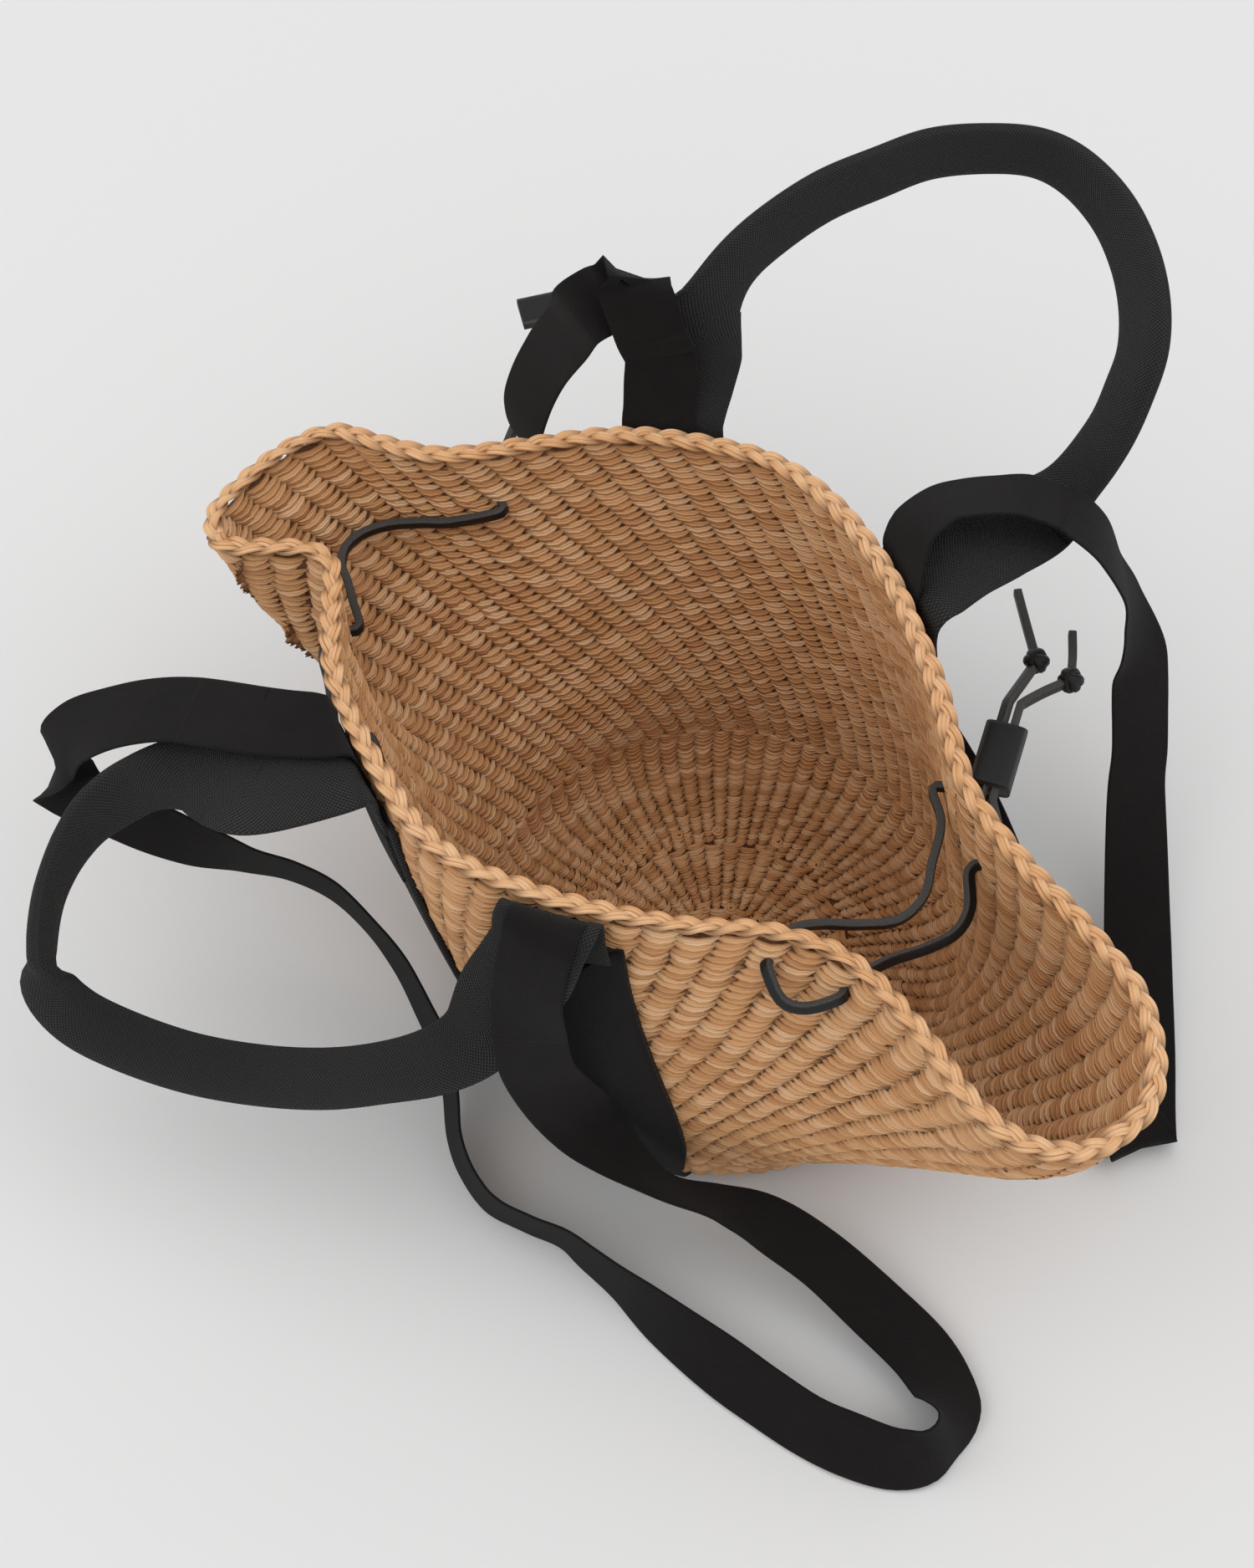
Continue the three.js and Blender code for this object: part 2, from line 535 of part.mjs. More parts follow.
// Far shoulder strap: over the far wall, down to the ground, back along it and up to the left fold
const farStrap = [
  foldRow(farRight, [0, 1.7, 2.6], 13, TAPE_T, 1),
  [22, 134, drop(-8), 0.95, -0.3, 0, 14, TAPE_T],
  ...tape([
    [17, 148, drop(-12), 0.75, -0.62, 0.2], [25, 164, drop(-14), 0.46, -0.81, 0.37],
    [41, 175, drop(-12), 0.28, -0.9, 0.33], [56, 179, drop(-10), 0.15, -0.92, 0.37],
    [72, 185, drop(5), 0.2, -0.87, 0.45], [85, 187, drop(28), 0.22, -0.71, 0.67],
    [93, 188, drop(50), -0.04, -0.64, 0.77], [101, 187, drop(72), -0.28, -0.64, 0.71],
    [106, 184, drop(91), -0.49, -0.57, 0.66], [113, 178, drop(112), -0.54, -0.65, 0.53],
    [119, 171, drop(126), -0.58, -0.67, 0.45], [125, 161, drop(138), -0.61, -0.69, 0.38],
    [137, 145, drop(155), -0.7, -0.66, 0.27], [155, 121, drop(177), -0.73, -0.68, 0.05],
    [170, 99, drop(186), -0.82, -0.57, 0], [190, 69, drop(194), -0.85, -0.5, 0],
    [203, 47, drop(195.5), -0.8, -0.6, 0], [212, 32, drop(194), -0.65, -0.76, 0],
    [214, 28, drop(189.5), -0.57, -0.82, 0], [209, 30, drop(185.5), -0.45, -0.89, 0],
    [192, 35, drop(184), -0.2, -0.98, 0], [172, 42, drop(182), 0.1, -0.9, 0.3],
    [156, 56, drop(182), 0.5, -0.3, 0.8], [128, 80, drop(182), 0.4, 0.3, 0.87],
    [97, 103, drop(180), 0.3, 0.4, 0.87], [58, 129, drop(172), 0.15, 0.45, 0.87],
    [10, 148, drop(155), 0.1, 0.3, 0.9], [-50, 152, drop(134), 0.1, 0.1, 0.95],
    [-105, 148, drop(116), 0.3, -0.1, 0.93], [-148, 138, drop(102), 0.45, -0.3, 0.8],
    [-176, 123, drop(86), 0.7, -0.5, 0.45], [-187, 114, drop(66), 0.88, -0.4, 0.1],
    [-191, 113, drop(44), 0.93, -0.37, 0], [-189, 117, drop(23), 0.93, -0.37, 0],
    [-183, 123, drop(0), 0.92, -0.39, 0.03], [-174, 126, drop(-22), 0.92, -0.38, 0],
    [-165, 126, drop(-42), 0.93, -0.37, 0],
    [-157, 130, drop(-58), 0.94, -0.32, 0], [-151, 138, drop(-64), 0.99, 0.05, 0],
    [-147, 143, drop(-57), 0.88, 0.45, 0], [-140, 141, drop(-43), 0.85, 0.52, 0],
    [-130, 136, drop(-26), 0.86, 0.5, 0],
  ]),
  [-125.5, 134.3, drop(-12), 0.97, 0.2, 0, 15, TAPE_T],
  foldRow(farLeft, [-5, -0.8, 2.8], 13, TAPE_T, 1),
];

// Row beside a lace hole, a distance out from the wall's outer face, with a further move
function holeRow(name, out, move = [0, 0, 0]) {
  const [place, up] = LACE_HOLES[name];
  const at = wallPoint(place, up).addScaledVector(wallFrame(place, up).out, out).add(vec(...move));
  return at.toArray();
}

const INSIDE = -STRAW_THICKNESS;
const SPLIT = -STRAW_THICKNESS / 2;

// Lace of the right ear: from one far hole round the near wall's stitch and back to the other
const rightLace = [
  holeRow('right_far_a', SPLIT - GAP), holeRow('right_far_a', INSIDE - 5),
  [82, 42, drop(42)], [88, 26, drop(47)], [93, 12, drop(51)], [90, -3, drop(53)],
  [78, -16, drop(50)], [66, -29, drop(42)], [60, -44, drop(30)], holeRow('right_near_a', INSIDE - 5, [0, 0, -2]),
  holeRow('right_near_a', SPLIT), holeRow('right_near_a', 4), [78, -79, drop(17)],
  [88, -76, drop(18)], holeRow('right_near_b', 4), holeRow('right_near_b', SPLIT),
  holeRow('right_near_b', INSIDE - 5, [0, 0, -2]), [97, -40, drop(33)], [100, -26, drop(42)],
  [108, -10, drop(48)], [114, 4, drop(49)], [113, 16, drop(46)],
  holeRow('right_far_b', INSIDE - 5), holeRow('right_far_b', SPLIT - GAP),
];

// Middle line of the sleeve, and a place on either strand that runs through it
const SLEEVE_AT = vec(83, 89, drop(52));
const SLEEVE_ALONG = vec(-0.3, 0.95, -0.08).normalize();
const SLEEVE_ACROSS = SLEEVE_ALONG.clone().cross(UP).normalize();
const strandPoint = (along, side) => SLEEVE_AT.clone().addScaledVector(SLEEVE_ALONG, along)
  .addScaledVector(SLEEVE_ACROSS, (side * STRAND_SPACING) / 2);
const KNOT_A = [68, 149, drop(63.5)];
const KNOT_B = [86, 149, drop(63.5)];
const KNOT_SEAT = KNOT_WIDTH / 2 + GAP;
const towards = (to, from, length) => {
  const step = vec(...from).sub(vec(...to)).setLength(length);
  return vec(...to).add(step).toArray();
};

const rightEndA = [
  holeRow('right_far_a', SPLIT + 2 * GAP), holeRow('right_far_a', 3.5), [84.5, 65.5, drop(46)],
  ...[-23, -20, 28, 31].map((along) => strandPoint(along, -1).toArray()),
  [70, 132, drop(58)], towards(KNOT_A, [69.5, 140, drop(60.5)], KNOT_SEAT),
];
const rightEndB = [
  holeRow('right_far_b', SPLIT + 2 * GAP), holeRow('right_far_b', 3.5), [107, 50, drop(43)], [99, 60, drop(47)],
  ...[-23, -20, 28, 31].map((along) => strandPoint(along, 1).toArray()),
  [80, 132, drop(58)], towards(KNOT_B, [83, 140, drop(60.5)], KNOT_SEAT),
];

// Lace of the left ear: across the mouth, along the near wall outside, then inside down to its knot
const LEFT_KNOT = [-50.5, -104.5, drop(50)];
const LEFT_LACE_DROP = [-63.5, -106.5, drop(41)];
const leftLace = [
  holeRow('left_far', SPLIT - GAP), holeRow('left_far', INSIDE - 5), [-184, 48, drop(42)],
  [-196, 42, drop(45)], [-208, 34, drop(47)], [-216, 24, drop(48)], [-218, 13, drop(48)],
  [-214, 4, drop(48)], [-206, -2, drop(47)], [-198, -9, drop(46)], holeRow('left_near', INSIDE - 5),
  holeRow('left_near', SPLIT), holeRow('left_near', 4.5), [-186, -45, drop(39)], [-176, -54, drop(38)],
  [-165, -65, drop(36)], [-156, -75, drop(35)], holeRow('left_seam', 4.5), holeRow('left_seam', SPLIT),
  holeRow('left_seam', INSIDE - 4), [-127, -78, drop(35)], [-112, -87, drop(35)], [-97, -95, drop(35)],
  [-86, -100, drop(35)], [-74, -104.5, drop(35)], LEFT_LACE_DROP, towards(LEFT_KNOT, LEFT_LACE_DROP, KNOT_SEAT),
];
const TAB_AT = [-208, 188, drop(43)];
const TAB_ALONG = vec(-0.66, -0.75, -0.03).normalize();
const leftEnd = [
  holeRow('left_far', SPLIT + 2 * GAP), holeRow('left_far', 5), [-190, 84, drop(50)], [-201, 100, drop(74)],
  [-208, 115, drop(92)], [-213, 132, drop(91)], [-214, 150, drop(76)], [-213, 168, drop(62)], [-206, 185, drop(54)],
  [-198, 196, drop(49)], [-198.5, 198.5, drop(45)], [-203, 194, drop(43)],
  vec(...TAB_AT).addScaledVector(TAB_ALONG, -GAP).toArray(),
];

// Straight tool for the hole of a lace through the wall
function holeTool(name) {
  return tube([holeRow(name, INSIDE - 2), holeRow(name, 2)], LACE_DIAMETER / 2 + LACE_CLEARANCE, 8, RIM_HEIGHT);
}

// Round lace as a mesh; grow widens it for the holes it passes through
const lace = (rows, grow = 0) => tube(rows, LACE_DIAMETER / 2 + grow, 8, LACE_STATION);

// Knot with a short tail of lace
function knot(at, tail) {
  const ball = new THREE.SphereGeometry(KNOT_WIDTH / 2, 12, 8).scale(1, 1, 0.9).translate(...at);
  return fromSolid(toSolid(ball).add(toSolid(lace([at, ...tail]))));
}

// Flat leather sleeve with a bore for each strand
function sleeve() {
  const [w, t] = [SLEEVE_WIDTH / 2, SLEEVE_THICKNESS / 2];
  const ends = [-SLEEVE_LENGTH / 2, SLEEVE_LENGTH / 2].map((along) => strandPoint(along, 0).toArray());
  const body = sweep(ends.map((at) => [...at, ...SLEEVE_ACROSS.toArray(), w, t]), 0.5, SLEEVE_LENGTH);
  const bores = [-1, 1].map((side) => {
    const line = [-SLEEVE_LENGTH, SLEEVE_LENGTH].map((along) => strandPoint(along, side).toArray());
    return tube(line, LACE_DIAMETER / 2 + GAP, 8, 4 * SLEEVE_LENGTH);
  });
  return cut(body, bores);
}

// Square of sewn webbing that holds the layers to the wall, on the outer face of a band
function tack(fold, x) {
  const rings = [0.86, 0.74].map((up) => {
    const across = bandAcross(fold, x, up, TACK_SIDE / BAND_WIDTH, 0);
    const inner = across.map(({ at, out }) => at.clone().addScaledVector(out, 3 * GAP + BAND_THICKNESS));
    const outer = across.map(({ at, out }) => at.clone().addScaledVector(out, 3 * GAP + BAND_THICKNESS + TACK_THICKNESS));
    return [...inner, ...outer.reverse()];
  });
  return loft(rings);
}

const leftBandCut = band(nearLeft, farLeft, LEFT_BAND_X, GAP);
const rightBandCut = band(nearRight, farRight, RIGHT_BAND_X, GAP);
const laceCuts = [rightLace, leftLace].map((rows) => lace(rows, LACE_CLEARANCE));
const holeTools = Object.keys(LACE_HOLES).map(holeTool);
const tabEnd = vec(...TAB_AT).addScaledVector(TAB_ALONG, TAB_LENGTH).toArray();

add('woven_base', cut(baseTray(), [leftBandCut, rightBandCut]), STRAW);
add('woven_wall', cut(wallShell(), [leftBandCut, rightBandCut, ...laceCuts, ...holeTools]), STRAW);
add('rim_plait', rimPlait(), STRAW);
add('left_band', band(nearLeft, farLeft, LEFT_BAND_X), COARSE);
add('right_band', band(nearRight, farRight, RIGHT_BAND_X), COARSE);
add('near_handle', sweep(nearHandle, 0.55), COARSE);
add('far_handle', sweep(farHandle, 0.55), COARSE);
add('near_strap', sweep(nearStrap), TWILL);
add('far_strap', sweep(farStrap), TWILL);
add('near_left_tack', tack(nearLeft, LEFT_BAND_X), THREAD);
add('near_right_tack', tack(nearRight, RIGHT_BAND_X), THREAD);
add('far_left_tack', tack(farLeft, LEFT_BAND_X), THREAD);
add('far_right_tack', tack(farRight, RIGHT_BAND_X), THREAD);
add('right_lace', lace(rightLace), LEATHER);
add('right_lace_end_a', lace(rightEndA), LEATHER);
add('right_lace_end_b', lace(rightEndB), LEATHER);
add('right_sleeve', sleeve(), LEATHER);
add('right_knot_a', knot(KNOT_A, [[55, 163, drop(66)], [40, 180, drop(70)]]), LEATHER);
add('right_knot_b', knot(KNOT_B, [[80, 161, drop(65)], [73, 173, drop(67)]]), LEATHER);
add('left_lace', lace(leftLace), LEATHER);
add('left_lace_end', lace(leftEnd), LEATHER);
add('left_knot', knot(LEFT_KNOT, [[-44, -101, drop(66)]]), LEATHER);
add('left_tab', sweep([
  [...TAB_AT, 0.75, -0.66, 0, TAB_WIDTH / 2, TAB_THICKNESS / 2],
  [...tabEnd, 0.75, -0.66, 0, TAB_WIDTH / 2, TAB_THICKNESS / 2],
], 0.4), LEATHER);

export default bag;
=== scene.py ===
"""Woven straw basket bag with webbing handles, cotton shoulder straps and leather laces.

Lengths in the tables below are millimetres in the frame of the solids, and every mesh is in metres.
"""

import logging
import math
from dataclasses import dataclass, field
from enum import Enum
from typing import Iterable, Sequence

import bpy
import numpy as np
from mathutils import Matrix, Vector

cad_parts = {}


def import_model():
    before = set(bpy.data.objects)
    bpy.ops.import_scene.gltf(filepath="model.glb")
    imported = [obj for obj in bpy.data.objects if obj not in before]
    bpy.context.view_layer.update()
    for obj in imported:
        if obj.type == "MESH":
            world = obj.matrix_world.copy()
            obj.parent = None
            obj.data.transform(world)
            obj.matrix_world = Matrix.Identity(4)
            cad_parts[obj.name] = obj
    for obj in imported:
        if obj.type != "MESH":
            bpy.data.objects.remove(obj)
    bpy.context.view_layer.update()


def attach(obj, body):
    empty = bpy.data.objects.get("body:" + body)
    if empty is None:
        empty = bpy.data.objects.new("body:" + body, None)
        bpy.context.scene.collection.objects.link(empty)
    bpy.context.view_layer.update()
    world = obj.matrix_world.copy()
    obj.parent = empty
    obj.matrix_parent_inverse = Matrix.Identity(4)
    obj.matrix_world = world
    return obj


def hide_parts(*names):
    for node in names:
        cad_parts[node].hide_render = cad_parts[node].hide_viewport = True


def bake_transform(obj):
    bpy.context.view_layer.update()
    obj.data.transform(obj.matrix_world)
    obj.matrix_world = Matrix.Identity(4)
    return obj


LOG = logging.getLogger("bag")
MM = 0.001
SEED = 7

# Straw body
BASE_RADIUS = 117.0
CORNER_RADIUS = 26.0
FLAT_RADIUS = BASE_RADIUS - CORNER_RADIUS
STRAW_THICKNESS = 5.0
RIM_HEIGHT = 200.0
LOW_BELLY = 7.0
HIGH_BELLY = 10.0

# Weave of the wall, with laps as shares of the spacing, and the skin behind the strands, painted dark as
# shade
WALL_COLUMNS = 80
WALL_ROWS = 60
WALL_TWIST = 0.06
STRAND_SINK = 1.7
STRAND_HEIGHT = 3.3
SPAN_LAP = 1.3
PITCH_LAP = 1.42
CORE_DEPTHS = (2.1, 2.9)
CORE_HEIGHTS = (2.2, 3.0)

# Weave of the base, with its depths outside and inside, and spoke counts within a radius
BASE_START = 3.0
BASE_PITCH = 3.2
BASE_SPAN_LAP = 1.36
BASE_STRAND_WIDTH = 4.3
BASE_DEPTHS = (1.3, 3.9)
BASE_SPOKES = ((27, 16), (62, 44))

# Plaited rim
RIM_CROSSINGS = 34
RIM_SWAY = 2.5
RIM_LIFT = 1.15
RIM_SEAT = 4.2
RIM_PLY = 1.45
RIM_STRAW = (1.0, 0.95)

# Coiled straw ends on the base: distance from its centre, and angles
COILS = (
    (69.0, (20, 50, 81, 100, 125, 141, 157, 166, 186, 215, 250, 290, 330)),
    (27.0, (0, 40, 81, 113, 140, 165, 200, 230, 270, 320)),
)
COIL_HEIGHT = 5.2
COIL_TURNS = 1.9
COIL_RADIUS = 0.75

# Webbing, straps and handles
BAND_WIDTH = 46.0
BAND_THICKNESS = 2.0
BAND_MARGIN = 10.0
LEFT_BAND_X = CORNER_RADIUS + BAND_MARGIN + BAND_WIDTH / 2 - BASE_RADIUS
RIGHT_BAND_X = 27.0
HANDLE_BEND_WIDTH = 44.0
STRAP_WIDTH = 32.0
STRAP_THICKNESS = 1.4
GRIP_WIDTH = 27.0
GRIP_THICKNESS = 12.0
FOLD_RISE = 3.0
FOLD_STANDOFF = 6.0
TACK_SIDE = 30.0
TACK_THICKNESS = 0.8
FACING_THICKNESS = 2.4
GAP = 0.3
HANDLE_SELVEDGE = 0.2
STRAP_SELVEDGE = 0.15

# Edges of the webbing: extra thickness, slant of the facing, and overlap and end widths of the loops
BAND_SELVEDGE = 0.25
FACING_START = 0.46
FACING_SLANT = 0.74
FACING_SLANT_HEIGHT = 0.19
BEND_LAP = 0.1
END_SHARES = (1.0, 0.96, 0.9)
FLAT_HALF_LIMIT = 2
FOLD_REACH = 16

# Steps between rings of swept pieces, and points round a ring
LOOP_STEP = 3.0
BEND_STEP = 2.0
LACE_STEP = 4.0
TURN_STEP = 2.5
LOOP_SIDES = 24
LACE_SIDES = 16
LACE_ROUNDNESS = 0.3

# Shares of the wall's height where webbing starts and ends, and turns of the band round the corner
BAND_SPAN = (0.93, 0.03)
CORNER_TURNS = (88, 22)
UNDER_SHARE = 0.9
TACK_SPAN = (0.86, 0.74)
FACING_SPAN = (0.94, 0.06)
BEND_SPAN = (0.88, 0.95)

# Leather laces, their sleeve, pull tab and ring knots
LACE_WIDTH = 4.6
LACE_THICKNESS = 3.8
SLEEVE_LENGTH = 34.0
SLEEVE_WIDTH = 19.0
SLEEVE_THICKNESS = 8.4
STRAND_SPACING = 5.6
TAB_LENGTH = 32.0
TAB_WIDTH = 16.0
TAB_THICKNESS = 5.0
KNOT_WIDTH = 12.0
KNOT_RING = 4.5
KNOT_STRAND = (1.7, 2.4)
LACE_HOLES = {
    "right_far_a": (14.8, 0.8), "right_far_b": (16.5, 0.82),
    "right_near_a": (27.05, 0.95), "right_near_b": (26.1, 0.94),
    "left_far": (6.35, 0.86), "left_near": (37.1, 0.84), "left_seam": (34.8, 0.84),
}
ANCHORS = {"near_left": 33.4, "near_right": 29.5, "far_left": 8.7, "far_right": 12.3}

# Rim of the mouth: x, y, z, angle on the base circle, belly
RIM = [
    (-252, -35, 182, 187, 17), (-261, -24, 182, 182, 15), (-262, -6, 182, 178, 14), (-256, 22, 184, 170, 8),
    (-241, 42, 188, 162, 2), (-219, 48, 190, 155, -2), (-192, 57, 192, 146, -4), (-164, 80, 195, 137, -4),
    (-134, 106, 197, 129, -2), (-102, 123, 198, 117, -2), (-66, 134, 199, 102, -2), (-28, 129, 200, 85, -2),
    (10, 112, 200, 68, -4), (34, 95, 199, 57, -8), (60, 74, 198, 48, -12), (81, 53, 197, 40, -16),
    (98, 40, 195, 34, -18), (131, 27, 192, 25, -14), (163, 19, 189, 17, -6), (197, 6, 186, 9, 2),
    (219, -16, 184, 3, 10), (227, -40, 183, -3, 20), (218, -67, 183, -9, 30), (195, -81, 185, -15, 38),
    (168, -80, 188, -21, 42), (136, -68, 192, -28, 40), (96, -58, 195, -36, 30), (63, -66, 197, -43, 18),
    (33, -84, 198, -49, 8), (-3, -100, 199, -58, 2), (-30, -108, 199, -66, 0), (-61, -113, 199, -80, 0),
    (-88, -109, 198, -97, 0), (-114, -97, 197, -117, 0), (-140, -83, 196, -129, 0), (-163, -66, 194, -139, 0),
    (-182, -44, 191, -148, 4), (-198, -23, 188, -155, 10), (-211, -19, 186, -160, 16),
    (-226, -26, 184, -166, 18), (-241, -34, 182, -171, 18),
]


def srgb(r: int, g: int, b: int) -> tuple[float, float, float, float]:
    """Linear colour of an 8-bit screen colour."""
    def linear(c: float) -> float:
        c /= 255
        return c / 12.92 if c <= 0.04045 else ((c + 0.055) / 1.055) ** 2.4
    return (linear(r), linear(g), linear(b), 1.0)


def catmull(a, b, c, d, f):
    """Cubic through b and c with neighbours a and d."""
    return 0.5 * (2 * b + (c - a) * f + (2 * a - 5 * b + 4 * c - d) * f**2 + (3 * b - 3 * c + d - a) * f**3)


def unit(vectors) -> np.ndarray:
    """Vectors of length one."""
    vectors = np.asarray(vectors, float)
    return vectors / np.linalg.norm(vectors, axis=-1, keepdims=True)


def distance(a: np.ndarray, b: np.ndarray) -> np.ndarray:
    """Distances between points."""
    return np.linalg.norm(a - b, axis=-1)


def run_along(points: Sequence) -> np.ndarray:
    """Length of a line up to each of its points."""
    return np.append(0, np.cumsum(np.linalg.norm(np.diff(points, axis=0), axis=1)))


def eased(value, start: float, span: float):
    """Straight rise from 0 to 1 over a span."""
    return np.clip((value - start) / span, 0, 1)


class WallSurface:
    """Outer face of the straw wall, by place around the rim and height share."""

    def __init__(self) -> None:
        rows = np.array(RIM, float)
        rows[:, 3] = np.degrees(np.unwrap(np.radians(rows[:, 3])))
        turn = np.array([0, 0, 0, -360.0, 0])
        self.count = len(rows)
        self.rows = np.vstack([rows[-1] - turn, rows, rows[0] + turn, rows[1] + turn])

    def values(self, place: np.ndarray) -> np.ndarray:
        """Interpolated rim values at places counted in rim points."""
        place = np.asarray(place, float) % self.count
        i = np.minimum(place.astype(int), self.count - 1)
        f = (place - i)[..., None]
        return catmull(self.rows[i], self.rows[i + 1], self.rows[i + 2], self.rows[i + 3], f)

    def point(self, place: np.ndarray, up: np.ndarray) -> np.ndarray:
        """Points on the outer face in millimetres."""
        place, up = np.broadcast_arrays(np.asarray(place, float), np.asarray(up, float))
        x, y, z, angle, belly = np.moveaxis(self.values(place), -1, 0)
        out = np.stack([np.cos(np.radians(angle)), np.sin(np.radians(angle)), 0 * x], -1)
        rim = np.stack([x, y, z], -1)
        foot = out * BASE_RADIUS + [0, 0, CORNER_RADIUS]
        rise = z - CORNER_RADIUS
        low = foot + out * (LOW_BELLY + belly)[..., None]
        low[..., 2] = CORNER_RADIUS + 0.3 * rise
        high = foot + (rim - foot) * 0.66 + out * (HIGH_BELLY + 0.9 * belly)[..., None]
        high[..., 2] = CORNER_RADIUS + 0.62 * rise
        u = up[..., None]
        w = 1 - u
        return foot * w**3 + low * 3 * w * w * u + high * 3 * w * u * u + rim * u**3

    def frame(self, place, up) -> tuple[np.ndarray, np.ndarray, np.ndarray]:
        """Unit directions along the rim, up the wall and out of it."""
        e = 0.02
        up = np.asarray(up, float)
        along = unit(self.point(np.asarray(place) + e, up) - self.point(np.asarray(place) - e, up))
        rise = unit(self.point(place, np.minimum(up + e, 1)) - self.point(place, np.maximum(up - e, 0)))
        return along, rise, unit(np.cross(rise, along))

    def at_depth(self, place, up, depth: float) -> tuple[np.ndarray, np.ndarray, np.ndarray]:
        """Points at a depth under the outer face, with the directions along the rim and out there."""
        along, _, out = self.frame(place, up)
        return self.point(place, up) - out * depth, along, out

    def place_at(self, share: np.ndarray, up: float) -> np.ndarray:
        """Places at shares of the wall's length round the bag at one height."""
        places = np.linspace(0, self.count, 1641)
        run = run_along(self.point(places, up))
        return np.interp((np.asarray(share) % 1) * run[-1], run, places)


WALL = WallSurface()


def drop(depth: float) -> float:
    """Height at a distance below the mouth."""
    return RIM_HEIGHT - depth


def below(rows: Iterable[Sequence[float]]) -> list:
    """Rows whose third value is given as a distance below the mouth."""
    return [[row[0], row[1], drop(row[2]), *row[3:]] for row in rows]


@dataclass(frozen=True)
class Fold:
    """Line where a loop of webbing folds over by the mouth."""

    name: str
    at: np.ndarray
    along: np.ndarray
    place: float

    def row(self, move: Sequence[float], half_width: float, half_thick: float, side: int = 1) -> list[float]:
        """Row of a strip whose width lies along the fold."""
        at = self.at + np.array(move)
        return [*at, self.along[0] * side, self.along[1] * side, 0.0, half_width, half_thick]


def fold_pair(side: str) -> tuple[Fold, Fold]:
    """Folds at the two anchors of one side, with one shared direction."""
    names = [f"{side}_left", f"{side}_right"]
    places = [ANCHORS[name] for name in names]
    middles = [WALL.point(place, 1.0) * [1, 1, 0] for place in places]
    along = unit(middles[1] - middles[0])
    folds = []
    for name, place, middle in zip(names, places, middles):
        rim_along, _, rim_out = WALL.frame(place, 1.0)
        skew = math.sqrt(max(0.0, 1 - float(np.dot(unit(rim_along * [1, 1, 0]), along)) ** 2))
        at = middle + unit(rim_out * [1, 1, 0]) * (BAND_WIDTH / 2 * skew + FOLD_STANDOFF)
        at[2] = WALL.point(place, 1.0)[2] + FOLD_RISE
        folds.append(Fold(name, at, along, place))
    return folds[0], folds[1]


NEAR_LEFT, NEAR_RIGHT = fold_pair("near")
FAR_LEFT, FAR_RIGHT = fold_pair("far")

FLAT_T = BAND_THICKNESS / 2
GRIP_W, GRIP_T = GRIP_WIDTH / 2, GRIP_THICKNESS / 2
TAPE_W, TAPE_T = STRAP_WIDTH / 2, STRAP_THICKNESS / 2

# Lifts of a bend's first two rows over the band, for a handle and for a strap under it
HANDLE_LIFTS = (1.0, 2.2)
STRAP_LIFTS = (-1.6 - FLAT_T, -FLAT_T)


def grip(rows: list) -> list:
    """Rows of the rolled part of a handle."""
    return [[*row, GRIP_W, GRIP_T] for row in below(rows)]


def tape(rows: list) -> list:
    """Rows of a strap at its full width."""
    return [[*row, TAPE_W, TAPE_T] for row in below(rows)]


NEAR_HANDLE = [
    NEAR_LEFT.row([0, -2.1, 0], 12, FLAT_T, -1),
    [-132.5, -113, drop(1), -0.98, 0.2, 0, 12, FLAT_T],
    [-142, -122, drop(3), -0.75, 0.65, 0, 13, FLAT_T],
    [-157, -127, drop(8), -0.35, 0.9, 0.1, 16, FLAT_T],
    [-174, -128, drop(16), -0.3, 0.9, 0.2, 19, 1.5],
    [-192, -130, drop(25), -0.3, 0.85, 0.35, 17, 3.5],
    *grip([
        [-208, -141, 33, -0.4, 0.7, 0.6], [-219, -159, 42, -0.25, 0.35, 0.9],
        [-223, -177, 52, -0.1, 0.1, 1], [-221, -197, 64, 0, 0.1, 1],
        [-214, -214, 78, -0.15, 0.3, 0.9], [-206, -223, 90, -0.3, 0.5, 0.8],
        [-190, -225, 100, -0.45, 0.6, 0.65], [-167, -220, 107, -0.49, 0.71, 0.5],
        [-138, -211, 110, -0.49, 0.71, 0.5], [-109, -199, 108, -0.49, 0.71, 0.5],
        [-81, -187, 98, -0.49, 0.71, 0.5], [-58, -174, 86, -0.55, 0.65, 0.5],
    ]),
    [-40, -161, drop(75), -0.7, 0.45, 0.5, 15, 4],
    [-29, -147, drop(64), -0.9, 0.2, 0.35, 17, 2],
    [-26, -135, drop(46), -0.99, 0.05, 0.1, 17, FLAT_T],
    [-20, -129, drop(28), -0.99, 0.1, 0, 17, FLAT_T],
    [-15, -125, drop(13), -0.99, 0.12, 0, 17, FLAT_T],
    NEAR_RIGHT.row([0, -3.2, -4.5], 17, FLAT_T, -1),
]

